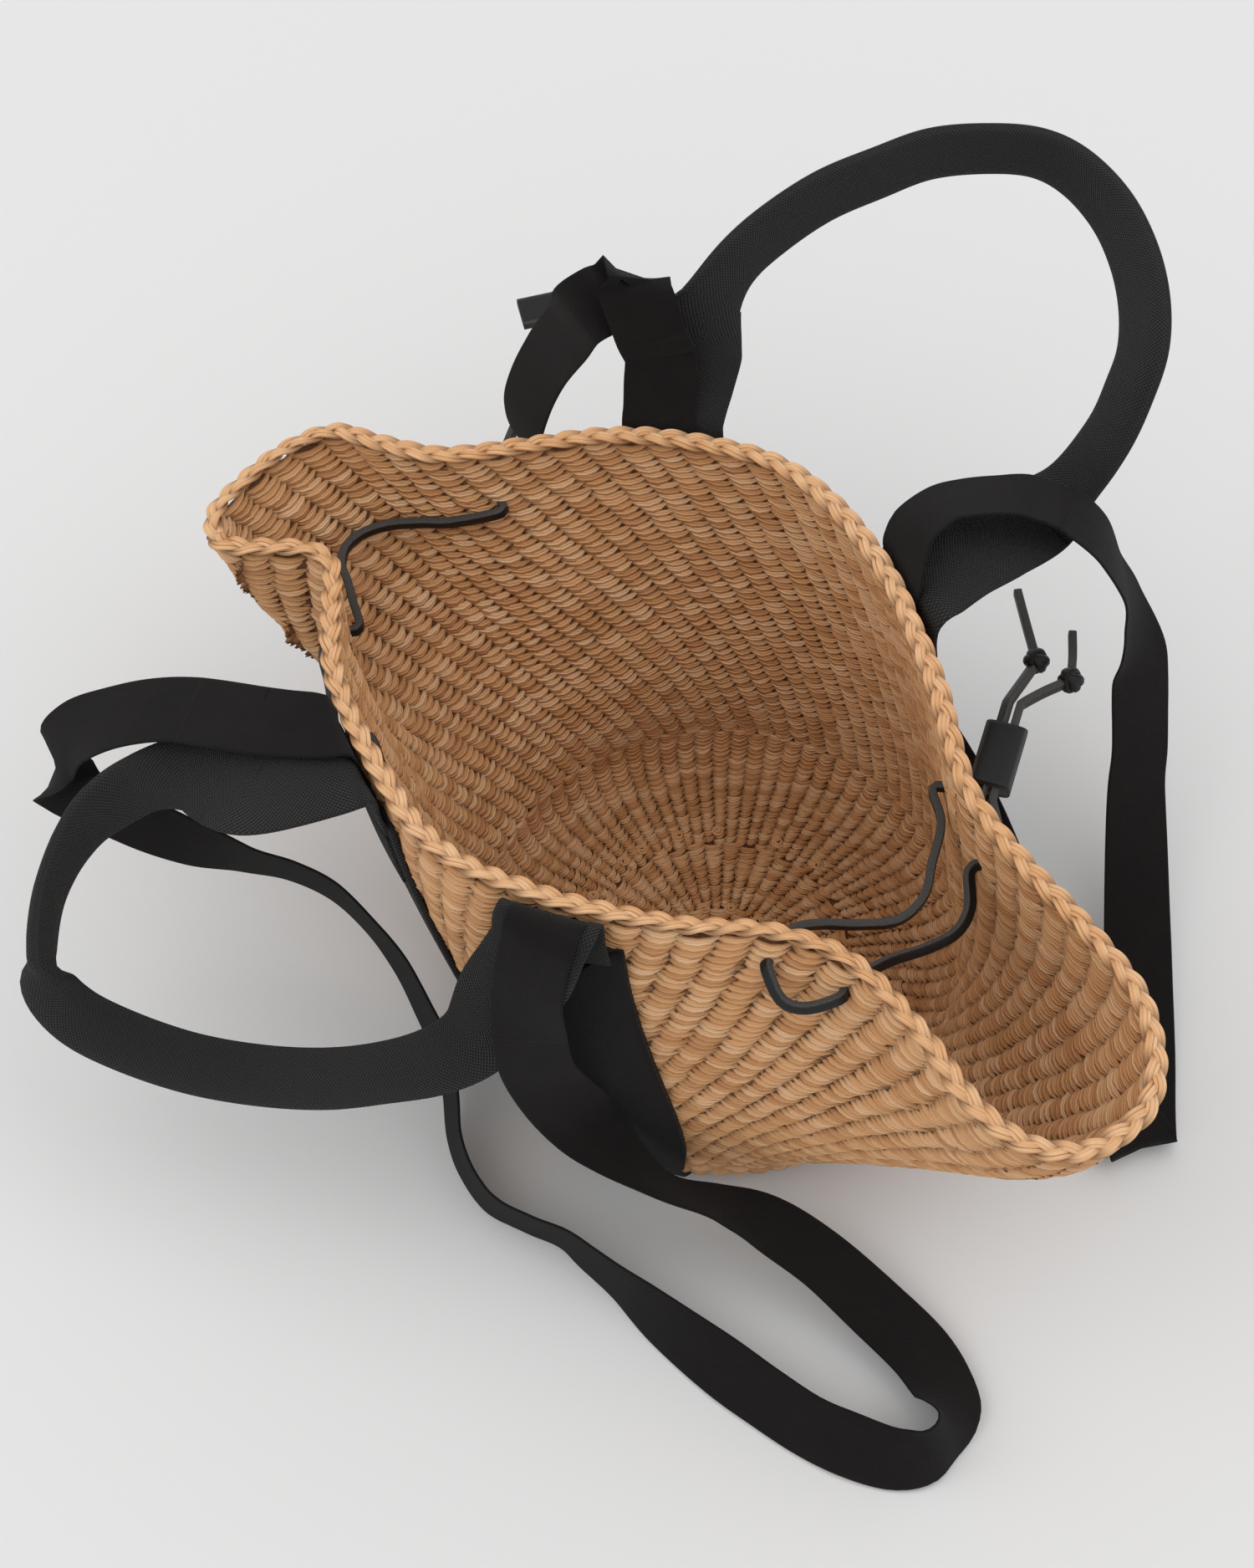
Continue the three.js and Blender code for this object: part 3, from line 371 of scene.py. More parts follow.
FAR_HANDLE = [
    FAR_LEFT.row([0, 1, 0.7], 17, FLAT_T, -1),
    [-120, 141, drop(-11), -0.96, -0.22, 0, 18, FLAT_T],
    [-123, 153, drop(-26), -0.88, -0.42, 0.15, 18, 1.5],
    [-124, 168, drop(-38), -0.65, -0.4, 0.6, 15, 3.5],
    *grip([
        [-124, 187, -45, -0.43, -0.2, 0.88], [-119, 208, -50, -0.36, -0.08, 0.93],
        [-109, 233, -55, -0.29, 0, 0.96], [-95, 256, -58, -0.23, 0.04, 0.97],
        [-81, 277, -60, -0.15, 0.08, 0.99], [-62, 294, -60, -0.07, 0.09, 0.99],
        [-42, 305, -60, 0, 0.11, 0.99], [-22, 306, -59, 0.1, 0.21, 0.97],
        [1, 298, -57, 0.26, 0.29, 0.92], [21, 284, -54, 0.43, 0.3, 0.85],
        [37, 267, -50, 0.6, 0.24, 0.77], [48, 249, -44, 0.77, 0.04, 0.64],
        [52, 233, -34, 0.85, -0.25, 0.41], [52, 220, -16, 0.86, -0.4, 0.25],
    ]),
    [46, 206, drop(8), 0.9, -0.2, 0.2, 14, 3.5],
    [41, 180, drop(8), 0.97, -0.2, 0, 17, 1.5],
    [33, 151, drop(2), 0.98, -0.15, 0, 17, FLAT_T],
    [28.5, 134, drop(-2), 1, -0.09, 0, 17, FLAT_T],
    FAR_RIGHT.row([0, 1.7, 0], 17, FLAT_T, 1),
]

NEAR_STRAP = [
    NEAR_LEFT.row([-5, -4.8, 5.4], 7, TAPE_T, -1),
    [-138.5, -110.8, drop(-8.4), -0.97, 0.25, 0.05, 9, TAPE_T],
    [-153, -110.2, drop(-7), -0.9, 0.4, 0.1, 12, TAPE_T],
    *tape([
        [-172, -103.5, -1, -0.6, 0.8, 0], [-204, -112, 9, -0.55, 0.83, 0],
        [-224, -121, 17, -0.55, 0.8, 0], [-241, -131, 28, -0.65, 0.75, 0],
        [-254, -139, 42, -0.8, 0.6, 0.1], [-259, -146, 58, -0.6, 0.5, 0.6],
        [-252, -147, 76, 0, 0.4, 0.9], [-231, -137, 94, 0.48, 0.56, 0.67],
        [-204, -127, 105, 0.19, 0.31, 0.93], [-183, -116, 115, 0.17, -0.05, 0.98],
        [-165, -106, 122, 0.25, -0.1, 0.95], [-145, -101, 129, 0.19, -0.12, 0.97],
        [-121, -104, 136, 0.1, -0.1, 0.97], [-104, -108, 145, 0.2, -0.05, 0.97],
        [-86, -116, 155, 0.35, -0.07, 0.92], [-72, -123, 165, 0.45, -0.1, 0.9],
        [-58, -135, 174, 0.45, -0.18, 0.88], [-46, -149, 181, 0.4, -0.15, 0.9],
        [-33, -159, 182, 0.36, -0.13, 0.92], [-20, -165, 183, 0.35, -0.1, 0.93],
        [-8, -167, 183, 0.34, -0.07, 0.94], [8, -165, 183, 0.3, -0.05, 0.95],
        [24, -162, 183, 0.26, -0.05, 0.97], [38, -163, 184, 0.4, 0, 0.9],
        [58, -165, 184, 0.5, 0.08, 0.85], [84, -168, 185, 0.34, 0.39, 0.85],
        [115, -170, 186, 0.2, 0.61, 0.77], [138, -171, 186, 0.1, 0.62, 0.78],
        [161, -171, 186, 0.02, 0.62, 0.79], [180, -168, 186, -0.17, 0.64, 0.75],
        [198, -163, 186, -0.37, 0.5, 0.78], [209, -156, 184, -0.45, 0.3, 0.85],
        [214, -148, 182, -0.4, 0, 0.92], [214, -139, 182, -0.35, -0.3, 0.88],
        [209, -130, 184, -0.34, -0.7, 0.63], [200, -122, 187, -0.31, -0.88, 0.35],
        [183, -114, 187, -0.25, -0.95, 0.2], [157, -110, 182, -0.25, -0.94, 0.22],
        [126, -108, 172, -0.14, -0.94, 0.32], [100, -112, 160, -0.15, -0.88, 0.45],
        [80, -120, 150, 0, -0.74, 0.67], [62, -129, 140, 0.25, -0.6, 0.75],
        [46, -133, 128, 0.2, -0.75, 0.6], [31, -135, 116, -0.1, -0.93, 0.3],
        [18, -138, 104, -0.4, -0.9, 0.05], [8, -141, 88, -0.6, -0.78, 0],
        [0, -143, 68, -0.75, -0.6, 0], [-5, -141, 48, -0.85, -0.5, 0],
        [-9, -136.5, 26, -0.97, -0.2, 0],
    ]),
    NEAR_RIGHT.row([0, -6.5, -3], TAPE_W, TAPE_T, -1),
]

FAR_STRAP = [
    FAR_RIGHT.row([0, 1.7, 2.6], 13, TAPE_T, 1),
    [22, 134, drop(-8), 0.95, -0.3, 0, 14, TAPE_T],
    *tape([
        [17, 148, -12, 0.75, -0.62, 0.2], [25, 164, -14, 0.46, -0.81, 0.37],
        [41, 175, -12, 0.28, -0.9, 0.33], [56, 179, -10, 0.15, -0.92, 0.37],
        [72, 185, 5, 0.2, -0.87, 0.45], [85, 187, 28, 0.22, -0.71, 0.67],
        [93, 188, 50, -0.04, -0.64, 0.77], [101, 187, 72, -0.28, -0.64, 0.71],
        [106, 184, 91, -0.49, -0.57, 0.66], [113, 178, 112, -0.54, -0.65, 0.53],
        [119, 171, 126, -0.58, -0.67, 0.45], [125, 161, 138, -0.61, -0.69, 0.38],
        [137, 145, 155, -0.7, -0.66, 0.27], [155, 121, 177, -0.73, -0.68, 0.05],
        [170, 99, 186, -0.82, -0.57, 0], [190, 69, 194, -0.85, -0.5, 0],
        [203, 47, 195.5, -0.8, -0.6, 0], [212, 32, 194, -0.65, -0.76, 0],
        [214, 28, 189.5, -0.57, -0.82, 0], [209, 30, 185.5, -0.45, -0.89, 0],
        [192, 35, 184, -0.2, -0.98, 0], [172, 42, 182, 0.1, -0.9, 0.3],
        [156, 56, 182, 0.5, -0.3, 0.8], [128, 80, 182, 0.4, 0.3, 0.87],
        [97, 103, 180, 0.3, 0.4, 0.87], [58, 129, 172, 0.15, 0.45, 0.87],
        [10, 148, 155, 0.1, 0.3, 0.9], [-50, 152, 134, 0.1, 0.1, 0.95],
        [-105, 148, 116, 0.3, -0.1, 0.93], [-148, 138, 102, 0.45, -0.3, 0.8],
        [-176, 123, 86, 0.7, -0.5, 0.45], [-187, 114, 66, 0.88, -0.4, 0.1],
        [-191, 113, 44, 0.93, -0.37, 0], [-189, 117, 23, 0.93, -0.37, 0],
        [-183, 123, 0, 0.92, -0.39, 0.03], [-174, 126, -22, 0.92, -0.38, 0],
        [-168, 126.3, -39, 0.93, -0.24, -0.22],
        [-161.2, 134.2, -45.6, 0.93, -0.06, -0.36], [-154.6, 138, -51.8, 0.957, 0.149, -0.245],
        [-151, 144.2, -57.7, 0.922, 0.366, -0.13], [-145.8, 139.6, -55.6, 0.83, 0.56, -0.01],
        [-139.8, 136.9, -48.2, 0.8, 0.59, 0.03], [-134.5, 135.5, -36.5, 0.83, 0.55, 0],
        [-130, 136, -26, 0.86, 0.5, 0],
    ]),
    [-125.5, 134.3, drop(-12), 0.97, 0.2, 0, 15, TAPE_T],
    FAR_LEFT.row([-5, -0.8, 2.8], 13, TAPE_T, 1),
]

# Rows of each bend: place across the band, rows skipped in the loop, rows between
BEND_LEADS = {
    ("near_handle", "near_left"): (0.0, 3, [
        [-127.5, -96.9, 197.5, -0.87, 0.5, 0], [-133, -106, 200, -0.87, 0.5, 0],
        [-143, -117.5, drop(1.5), -0.75, 0.65, 0],
    ]),
    ("near_strap", "near_left"): (-0.36, 3, [
        [-141, -87.3, 201, -0.86, 0.5, 0], [-147, -92, 204.5, -0.8, 0.6, 0],
        [-158, -98, drop(-4), -0.7, 0.7, 0],
    ]),
    ("near_handle", "near_right"): (0.0, 1, [
        [-15.8, -108.3, 200.5, -0.956, -0.292, 0], [-15, -113.5, 203.5, -0.97, -0.2, 0],
        [-14.5, -119.5, 200, -0.985, -0.05, 0],
    ]),
    ("near_strap", "near_right"): (0.0, 1, [
        [-15.6, -109.5, 202.5, -0.956, -0.292, 0], [-14.8, -116, 206, -0.97, -0.2, 0],
        [-12.5, -123.5, 202.5, -0.985, -0.1, 0], [-11, -131, drop(11), -0.98, -0.15, 0],
    ]),
    ("far_handle", "far_left"): (0.0, 2, [
        [-115, 125.5, 200, -0.9, -0.44, 0], [-117.5, 132.5, 206, -0.92, -0.4, 0],
        [-120, 142, drop(-12), -0.94, -0.32, 0],
    ]),
    ("far_strap", "far_left"): (-0.15, 2, [
        [-120, 119.3, 201.5, 0.9, 0.44, 0], [-122.5, 124, 208, 0.88, 0.47, 0],
        [-126, 129.5, drop(-17), 0.87, 0.49, 0],
    ]),
    ("far_handle", "far_right"): (0.0, 2, [
        [22, 112.5, 201, 0.845, -0.535, 0], [24.5, 122, 203, 0.85, -0.52, 0],
        [28, 136, drop(-2), 0.88, -0.46, 0],
    ]),
    ("far_strap", "far_right"): (-0.22, 4, [
        [11.5, 116.5, 203, 0.845, -0.535, 0], [8.5, 122.5, 211, 0.8, -0.58, 0.12],
        [7.5, 131.5, 215.5, 0.66, -0.68, 0.32], [11, 145.5, 216.5, 0.52, -0.74, 0.42],
        [19, 156.5, 215.5, 0.44, -0.78, 0.42], [30, 167.5, drop(-13.5), 0.35, -0.83, 0.4],
    ]),
}


def hole(name: str, out: float, move: Sequence[float] = (0, 0, 0)) -> np.ndarray:
    """Point beside a lace hole, a distance out from the outer face of the wall."""
    place, up = LACE_HOLES[name]
    return WALL.point(place, up) + WALL.frame(place, up)[2] * out + np.array(move)


def towards(to: Sequence[float], start: Sequence[float], length: float) -> np.ndarray:
    """Point at a distance from a target, on the line to a start."""
    return np.array(to) + unit(np.array(start) - np.array(to)) * length


INSIDE = -STRAW_THICKNESS
SPLIT = -STRAW_THICKNESS / 2
SLEEVE_AT = np.array([83.0, 89.0, drop(52)])
SLEEVE_ALONG = unit([-0.3, 0.95, -0.08])
SLEEVE_ACROSS = unit(np.cross(SLEEVE_ALONG, [0, 0, 1]))
KNOT_A = [68, 149, drop(63.5)]
KNOT_B = [86, 149, drop(63.5)]
KNOT_SEAT = KNOT_WIDTH / 2 + GAP
KNOT_NAMES = {
    "a": ("right_ring_knot_a", "right_knot_a"), "b": ("right_ring_knot_b", "right_knot_b"),
    "left": ("left_ring_knot", "left_knot"),
}
LEFT_KNOT = [-50.5, -104.5, drop(50)]
LEFT_LACE_DROP = [-63.5, -106.5, drop(41)]
TAB_AT = np.array([-208.0, 188.0, drop(43)])
TAB_ALONG = unit([-0.66, -0.75, -0.03])
TAB_ACROSS = [0.75, -0.66, 0]


def strand_point(along: float, side: float) -> np.ndarray:
    """Place on a strand of lace that runs through the sleeve."""
    return SLEEVE_AT + SLEEVE_ALONG * along + SLEEVE_ACROSS * (side * STRAND_SPACING / 2)


RIGHT_LACE = [
    hole("right_far_a", SPLIT - GAP), hole("right_far_a", INSIDE - 5),
    [82, 42, drop(42)], [88, 26, drop(47)], [93, 12, drop(51)], [90, -3, drop(53)],
    [78, -16, drop(50)], [66, -29, drop(42)], [60, -44, drop(30)],
    hole("right_near_a", INSIDE - 5, [0, 0, -2]),
    hole("right_near_a", SPLIT), hole("right_near_a", 4), [78, -79, drop(17)],
    [88, -76, drop(18)], hole("right_near_b", 4), hole("right_near_b", SPLIT),
    hole("right_near_b", INSIDE - 5, [0, 0, -2]), [97, -40, drop(33)], [100, -26, drop(42)],
    [108, -10, drop(48)], [114, 4, drop(49)], [113, 16, drop(46)],
    hole("right_far_b", INSIDE - 5), hole("right_far_b", SPLIT - GAP),
]
RIGHT_END_A = [
    hole("right_far_a", SPLIT + 2 * GAP), hole("right_far_a", 3.5), [84.5, 65.5, drop(46)],
    *[strand_point(along, -1) for along in (-23, -20, 28, 31)],
    [70, 132, drop(58)], towards(KNOT_A, [69.5, 140, drop(60.5)], KNOT_SEAT),
]
RIGHT_END_B = [
    hole("right_far_b", SPLIT + 2 * GAP), hole("right_far_b", 3.5), [107, 50, drop(43)], [99, 60, drop(47)],
    *[strand_point(along, 1) for along in (-23, -20, 28, 31)],
    [80, 132, drop(58)], towards(KNOT_B, [83, 140, drop(60.5)], KNOT_SEAT),
]
LEFT_LACE = [
    hole("left_far", SPLIT - GAP), hole("left_far", INSIDE - 5), [-184, 48, drop(42)],
    [-196, 42, drop(45)], [-208, 34, drop(47)], [-216, 24, drop(48)], [-218, 13, drop(48)],
    [-214, 4, drop(48)], [-206, -2, drop(47)], [-198, -9, drop(46)], hole("left_near", INSIDE - 5),
    hole("left_near", SPLIT), hole("left_near", 4.5), [-186, -45, drop(39)], [-176, -54, drop(38)],
    [-165, -65, drop(36)], [-156, -75, drop(35)], hole("left_seam", 4.5), hole("left_seam", SPLIT),
    hole("left_seam", INSIDE - 4), [-127, -78, drop(35)], [-112, -87, drop(35)], [-97, -95, drop(35)],
    [-86, -100, drop(35)], [-74, -104.5, drop(35)], LEFT_LACE_DROP,
    towards(LEFT_KNOT, LEFT_LACE_DROP, KNOT_SEAT),
]
LEFT_END = [
    hole("left_far", SPLIT + 2 * GAP), hole("left_far", 5), [-190, 84, drop(50)], [-201, 100, drop(74)],
    [-208, 115, drop(92)], [-213, 132, drop(91)], [-214, 150, drop(76)], [-213, 168, drop(62)],
    [-206, 185, drop(54)], [-198, 196, drop(49)], [-198.5, 198.5, drop(45)], [-203, 194, drop(43)],
    TAB_AT - TAB_ALONG * GAP,
]


class Slot(Enum):
    """Material slots of the pieces."""

    STRAW = "straw"
    COARSE = "coarse_webbing"
    TWILL = "twill"
    STITCHING = "stitching"
    LEATHER = "leather"


class Graph:
    """Small helper that adds and links shader nodes."""

    def __init__(self, name: str) -> None:
        self.material = bpy.data.materials.new(name)
        self.material.use_nodes = True
        self.tree = self.material.node_tree
        self.shader = self.tree.nodes["Principled BSDF"]

    def add(self, kind: str, inputs: dict | None = None, **settings) -> bpy.types.Node:
        """Add a node with settings, and set or link its inputs."""
        node = self.tree.nodes.new(kind)
        for key, value in settings.items():
            setattr(node, key, value)
        for key, value in (inputs or {}).items():
            self.feed(node.inputs[key], value)
        return node

    def feed(self, socket, value) -> None:
        """Link a socket, or set its value."""
        if isinstance(value, bpy.types.NodeSocket):
            self.tree.links.new(value, socket)
        else:
            socket.default_value = value

    def attribute(self, name: str, output: str = "Fac") -> bpy.types.NodeSocket:
        """Output of a mesh attribute."""
        return self.add("ShaderNodeAttribute", attribute_name=name).outputs[output]

    def parts(self, vector) -> tuple[bpy.types.NodeSocket, bpy.types.NodeSocket]:
        """First two parts of a vector."""
        outputs = self.add("ShaderNodeSeparateXYZ", {"Vector": vector}).outputs
        return outputs["X"], outputs["Y"]

    def math(self, operation: str, a, b=0.0) -> bpy.types.NodeSocket:
        """One arithmetic step."""
        return self.add("ShaderNodeMath", {0: a, 1: b}, operation=operation).outputs[0]

    def times(self, a, b) -> bpy.types.NodeSocket:
        """Product of a and b."""
        return self.math("MULTIPLY", a, b)

    def plus(self, a, b) -> bpy.types.NodeSocket:
        """Sum of a and b."""
        return self.math("ADD", a, b)

    def wave(self, value, pitch: float) -> bpy.types.NodeSocket:
        """Sine of a value, one turn for each pitch."""
        return self.math("SINE", self.times(value, 2 * math.pi / pitch))

    def ramp(self, factor, stops: Sequence[tuple[float, tuple]]) -> bpy.types.NodeSocket:
        """Colour ramp with the given stops, each a place and a screen colour."""
        node = self.add("ShaderNodeValToRGB", {"Fac": factor})
        elements = node.color_ramp.elements
        while len(elements) < len(stops):
            elements.new(0.5)
        for element, (position, colour) in zip(elements, stops):
            element.position = position
            element.color = srgb(*colour)
        return node.outputs["Color"]

    def mix(self, factor, a, b) -> bpy.types.NodeSocket:
        """Colour mix of a and b."""
        node = self.add("ShaderNodeMix", data_type="RGBA", blend_type="MIX")
        self.feed(node.inputs["Factor"], factor)
        self.feed(node.inputs["A"], a)
        self.feed(node.inputs["B"], b)
        return node.outputs["Result"]

    def scaled(self, vector, scale: Sequence[float]) -> bpy.types.NodeSocket:
        """Vector multiplied by a fixed scale."""
        node = self.add("ShaderNodeVectorMath", {0: vector, 1: scale}, operation="MULTIPLY")
        return node.outputs["Vector"]

    def noise(self, vector, scale: Sequence[float], detail: float = 4.0, roughness: float = 0.7):
        """Noise value on a vector multiplied by a scale."""
        vector = self.scaled(vector, scale)
        inputs = {"Vector": vector, "Scale": 1.0, "Detail": detail, "Roughness": roughness}
        return self.add("ShaderNodeTexNoise", inputs).outputs["Fac"]

    def bump(self, height, distance: float, strength: float = 1.0) -> None:
        """Bump on the shader's normal, with its distance in metres."""
        node = self.add("ShaderNodeBump", {"Height": height, "Distance": distance, "Strength": strength})
        self.tree.links.new(node.outputs["Normal"], self.shader.inputs["Normal"])

    def finish(self, colour, roughness, **fixed) -> None:
        """Wire colour and roughness, and set fixed shader values."""
        self.feed(self.shader.inputs["Base Color"], colour)
        self.feed(self.shader.inputs["Roughness"], roughness)
        for key, value in fixed.items():
            self.shader.inputs[key.replace("_", " ")].default_value = value


class Finish:
    """A procedural material, whose nodes each kind adds in its paint method."""

    name = "finish"

    def build(self) -> bpy.types.Material:
        """Make the material."""
        graph = Graph(self.name)
        self.paint(graph)
        return graph.material

    def paint(self, g: Graph) -> None:
        """Add the nodes of this kind."""
        raise NotImplementedError


class StrawFinish(Finish):
    """Dry straw: warm tone by strand, streaks along it, painted shade where strands meet and in the grooves
    between its straws.
    """

    name = "straw"

    def paint(self, g: Graph) -> None:
        """Add the nodes."""
        tone = g.attribute("tone")
        grain = g.attribute("grain", "Vector")
        streak = g.noise(grain, (0.12, 1.6, 1.0), 3.0, 0.6)
        straws = g.math("ABSOLUTE", g.math("COSINE", g.times(g.parts(grain)[1], math.pi / 2)))
        # Painted shade in the grooves between the straws of a strand.
        groove_shade = g.math("POWER", g.math("SUBTRACT", 1.0, straws), 3.0)
        blotch = g.noise(grain, (0.06, 0.12, 1.0), 2.0, 0.5)
        shade = g.plus(g.times(tone, 0.42), g.times(streak, 0.6))
        colour = g.ramp(shade, [(0.12, (166, 108, 62)), (0.5, (220, 166, 114)), (0.88, (248, 210, 168))])
        colour = g.mix(g.times(blotch, 0.35), colour, srgb(178, 122, 70))
        # Painted shade: the depth value darkens the straw towards dark brown where strands tuck in and on
        # their undersides.
        colour = g.mix(g.attribute("depth"), colour, srgb(92, 58, 30))
        # The groove shade mixes the colour towards dark brown.
        colour = g.mix(g.times(groove_shade, 0.34), colour, srgb(128, 78, 42))
        g.bump(g.plus(streak, g.times(straws, 1.3)), 0.0005, 0.8)
        g.finish(colour, g.plus(0.46, g.times(streak, 0.22)), Specular_IOR_Level=0.4)


class CoreFinish(Finish):
    """Straw behind the strands, painted dark brown as shade."""

    name = "straw_core"

    def paint(self, g: Graph) -> None:
        """Add the nodes."""
        coords = g.add("ShaderNodeTexCoord").outputs["Object"]
        grain = g.noise(coords, (400, 400, 900), 2.0, 0.5)
        g.bump(grain, 0.0004)
        # Painted shade: the skin's dark browns stand for the shadow behind and between the strands.
        g.finish(g.ramp(grain, [(0.3, (70, 42, 22)), (0.7, (112, 72, 38))]), 0.9)


class CoarseFinish(Finish):
    """Coarse ribbed webbing with staggered picks, with a painted highlight on the raised picks and painted
    shade between them.
    """

    name = "coarse_webbing"
    pitch = 1.9

    def paint(self, g: Graph) -> None:
        """Add the nodes."""
        uv = g.attribute("weave", "Vector")
        across, along = g.parts(uv)
        weave = g.times(g.wave(across, self.pitch), g.wave(along, self.pitch * 0.8))
        height = g.plus(weave, g.times(g.noise(uv, (1.4, 1.4, 1.4)), 0.8))
        # Painted light: colour follows the weave's height, a painted highlight where the picks rise and
        # painted shade where they sink.
        shade = g.plus(g.times(height, 0.28), 0.4)
        colour = g.ramp(shade, [(0.1, (10, 9, 9)), (0.5, (29, 28, 28)), (0.95, (64, 61, 60))])
        g.bump(height, 0.0008, 1.0)
        g.finish(colour, 0.85, Specular_IOR_Level=0.25, Sheen_Weight=0.06, Sheen_Roughness=0.5)


class TwillFinish(Finish):
    """Fine black twill tape with slanting lines, whose relief carries a painted highlight and painted shade,
    and worn places.
    """

    name = "twill"
    pitch = 0.85

    def paint(self, g: Graph) -> None:
        """Add the nodes."""
        uv = g.attribute("weave", "Vector")
        line = g.wave(g.plus(*g.parts(uv)), self.pitch)
        height = g.plus(g.times(line, 0.5), g.noise(uv, (2.2, 2.2, 2.2)))
        wear = g.noise(uv, (0.08, 0.05, 0.05), 3.0, 0.6)
        # Partly painted light: the relief of the lines gives a painted highlight and painted shade; the wear
        # noise is the tape's own worn places.
        shade = g.plus(g.times(height, 0.35), g.times(wear, 0.3))
        colour = g.ramp(shade, [(0.15, (10, 8, 8)), (0.5, (23, 19, 18)), (0.9, (43, 38, 36))])
        g.bump(height, 0.00022, 0.8)
        g.finish(colour, 0.92, Specular_IOR_Level=0.15, Sheen_Weight=0.04, Sheen_Roughness=0.6)


class LeatherFinish(Finish):
    """Smooth black leather with a fine grain and pale raw edges."""

    name = "leather"

    def paint(self, g: Graph) -> None:
        """Add the nodes."""
        uv = g.attribute("weave", "Vector")
        cells = g.add("ShaderNodeTexVoronoi", {"Vector": g.scaled(uv, (1.3, 1.3, 1.3)), "Scale": 1.0})
        fibre = g.noise(uv, (1.5, 1.5, 1.5))
        face = g.ramp(fibre, [(0.3, (11, 10, 10)), (0.7, (24, 22, 22))])
        raw = g.ramp(fibre, [(0.3, (40, 39, 38)), (0.7, (88, 86, 84))])
        edge = g.attribute("edge")
        g.bump(cells.outputs["Distance"], 0.00012, 0.7)
        g.finish(g.mix(edge, face, raw), g.plus(0.42, g.times(edge, 0.4)), Specular_IOR_Level=0.3)


class Finishes:
    """All materials of the scene, each made once."""

    def __init__(self) -> None:
        self.straw = StrawFinish().build()
        self.core = CoreFinish().build()
        self.coarse = CoarseFinish().build()
        self.twill = TwillFinish().build()
        self.leather = LeatherFinish().build()


@dataclass
class MeshData:
    """Vertices in millimetres, faces, and attributes by vertex."""

    points: np.ndarray
    faces: list
    scalars: dict[str, np.ndarray] = field(default_factory=dict)
    vectors: dict[str, np.ndarray] = field(default_factory=dict)


def joined(parts: Sequence[MeshData]) -> MeshData:
    """Several meshes as one."""
    faces, shift = [], 0
    for part in parts:
        faces += [tuple(i + shift for i in face) for face in part.faces]
        shift += len(part.points)
    scalars = {key: np.concatenate([part.scalars[key] for part in parts]) for key in parts[0].scalars}
    vectors = {key: np.concatenate([part.vectors[key] for part in parts]) for key in parts[0].vectors}
    return MeshData(np.vstack([part.points for part in parts]), faces, scalars, vectors)


def make_mesh(name: str, data: MeshData, scale: float = MM) -> bpy.types.Mesh:
    """Mesh with the attributes of its data."""
    mesh = bpy.data.meshes.new(name)
    mesh.from_pydata((data.points * scale).tolist(), [], data.faces)
    for key, values in data.scalars.items():
        mesh.attributes.new(key, "FLOAT", "POINT").data.foreach_set("value", values.astype(np.float32))
    for key, values in data.vectors.items():
        attribute = mesh.attributes.new(key, "FLOAT_VECTOR", "POINT")
        attribute.data.foreach_set("vector", values.astype(np.float32).ravel())
    return mesh


def add_object(name: str, data: bpy.types.ID) -> bpy.types.Object:
    """New object in the scene."""
    thing = bpy.data.objects.new(name, data)
    bpy.context.scene.collection.objects.link(thing)
    return thing


def add_piece(mesh: bpy.types.Mesh, slot: Slot, body: str | None, *replaces: str) -> bpy.types.Object:
    """Make a smooth object from a mesh and give it to a body.

    Args:
        mesh: mesh in metres, with its material.
        slot: material slot; not used.
        body: CAD body it rides on, or None to leave it on no body.
        replaces: CAD nodes it stands for.
    """
    mesh.polygons.foreach_set("use_smooth", np.ones(len(mesh.polygons), bool))
    mesh.update()
    piece = add_object(mesh.name, mesh)
    if replaces:
        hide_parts(*replaces)
    if body:
        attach(piece, body)
    LOG.info("%s: %d vertices, %d faces", mesh.name, len(mesh.vertices), len(mesh.polygons))
    return piece


def make_piece(name: str, data: MeshData, material: bpy.types.Material, slot: Slot, body: str | None,
               *replaces: str) -> bpy.types.Object:
    """Make a piece from mesh data, with one material."""
    mesh = make_mesh(name, data)
    mesh.materials.append(material)
    return add_piece(mesh, slot, body, *replaces)


def stations(rows: Sequence[Sequence[float]], spacing: float) -> np.ndarray:
    """Values at an even spacing along given rows."""
    table = np.array(rows, float)
    padded = np.vstack([table[0], table, table[-1]])
    out = []
    for i in range(len(table) - 1):
        span = np.linalg.norm(table[i + 1, :3] - table[i, :3])
        count = max(1, round(span / spacing))
        f = (np.arange(count) / count)[:, None]
        out.append(catmull(*padded[i:i + 4], f))
    out.append(table[-1:])
    return np.vstack(out)


def around(sides: int) -> np.ndarray:
    """Angles of the points of a ring, half a step off its start."""
    return (np.arange(sides) + 0.5) / sides * 2 * np.pi


def loft_faces(rings: int, sides: int, closed: bool = False, turned: bool = False) -> list[tuple]:
    """Faces between rings of equal length, with a cap at both ends unless the last ring joins the first.

    Args:
        rings: number of rings.
        sides: points in each ring.
        closed: whether the last ring joins the first.
        turned: whether the faces look the other way.
    """
    faces = []
    for i in range(rings if closed else rings - 1):
        j = (i + 1) % rings
        for k in range(sides):
            m = (k + 1) % sides
            corners = [i * sides + k, i * sides + m, j * sides + m, j * sides + k]
            faces.append((corners[0], *corners[:0:-1]) if turned else tuple(corners))
    if closed:
        return faces
    first, last = tuple(range(sides)), tuple(range((rings - 1) * sides, rings * sides))
    return [first, *faces, last[::-1]] if turned else [first[::-1], *faces, last]


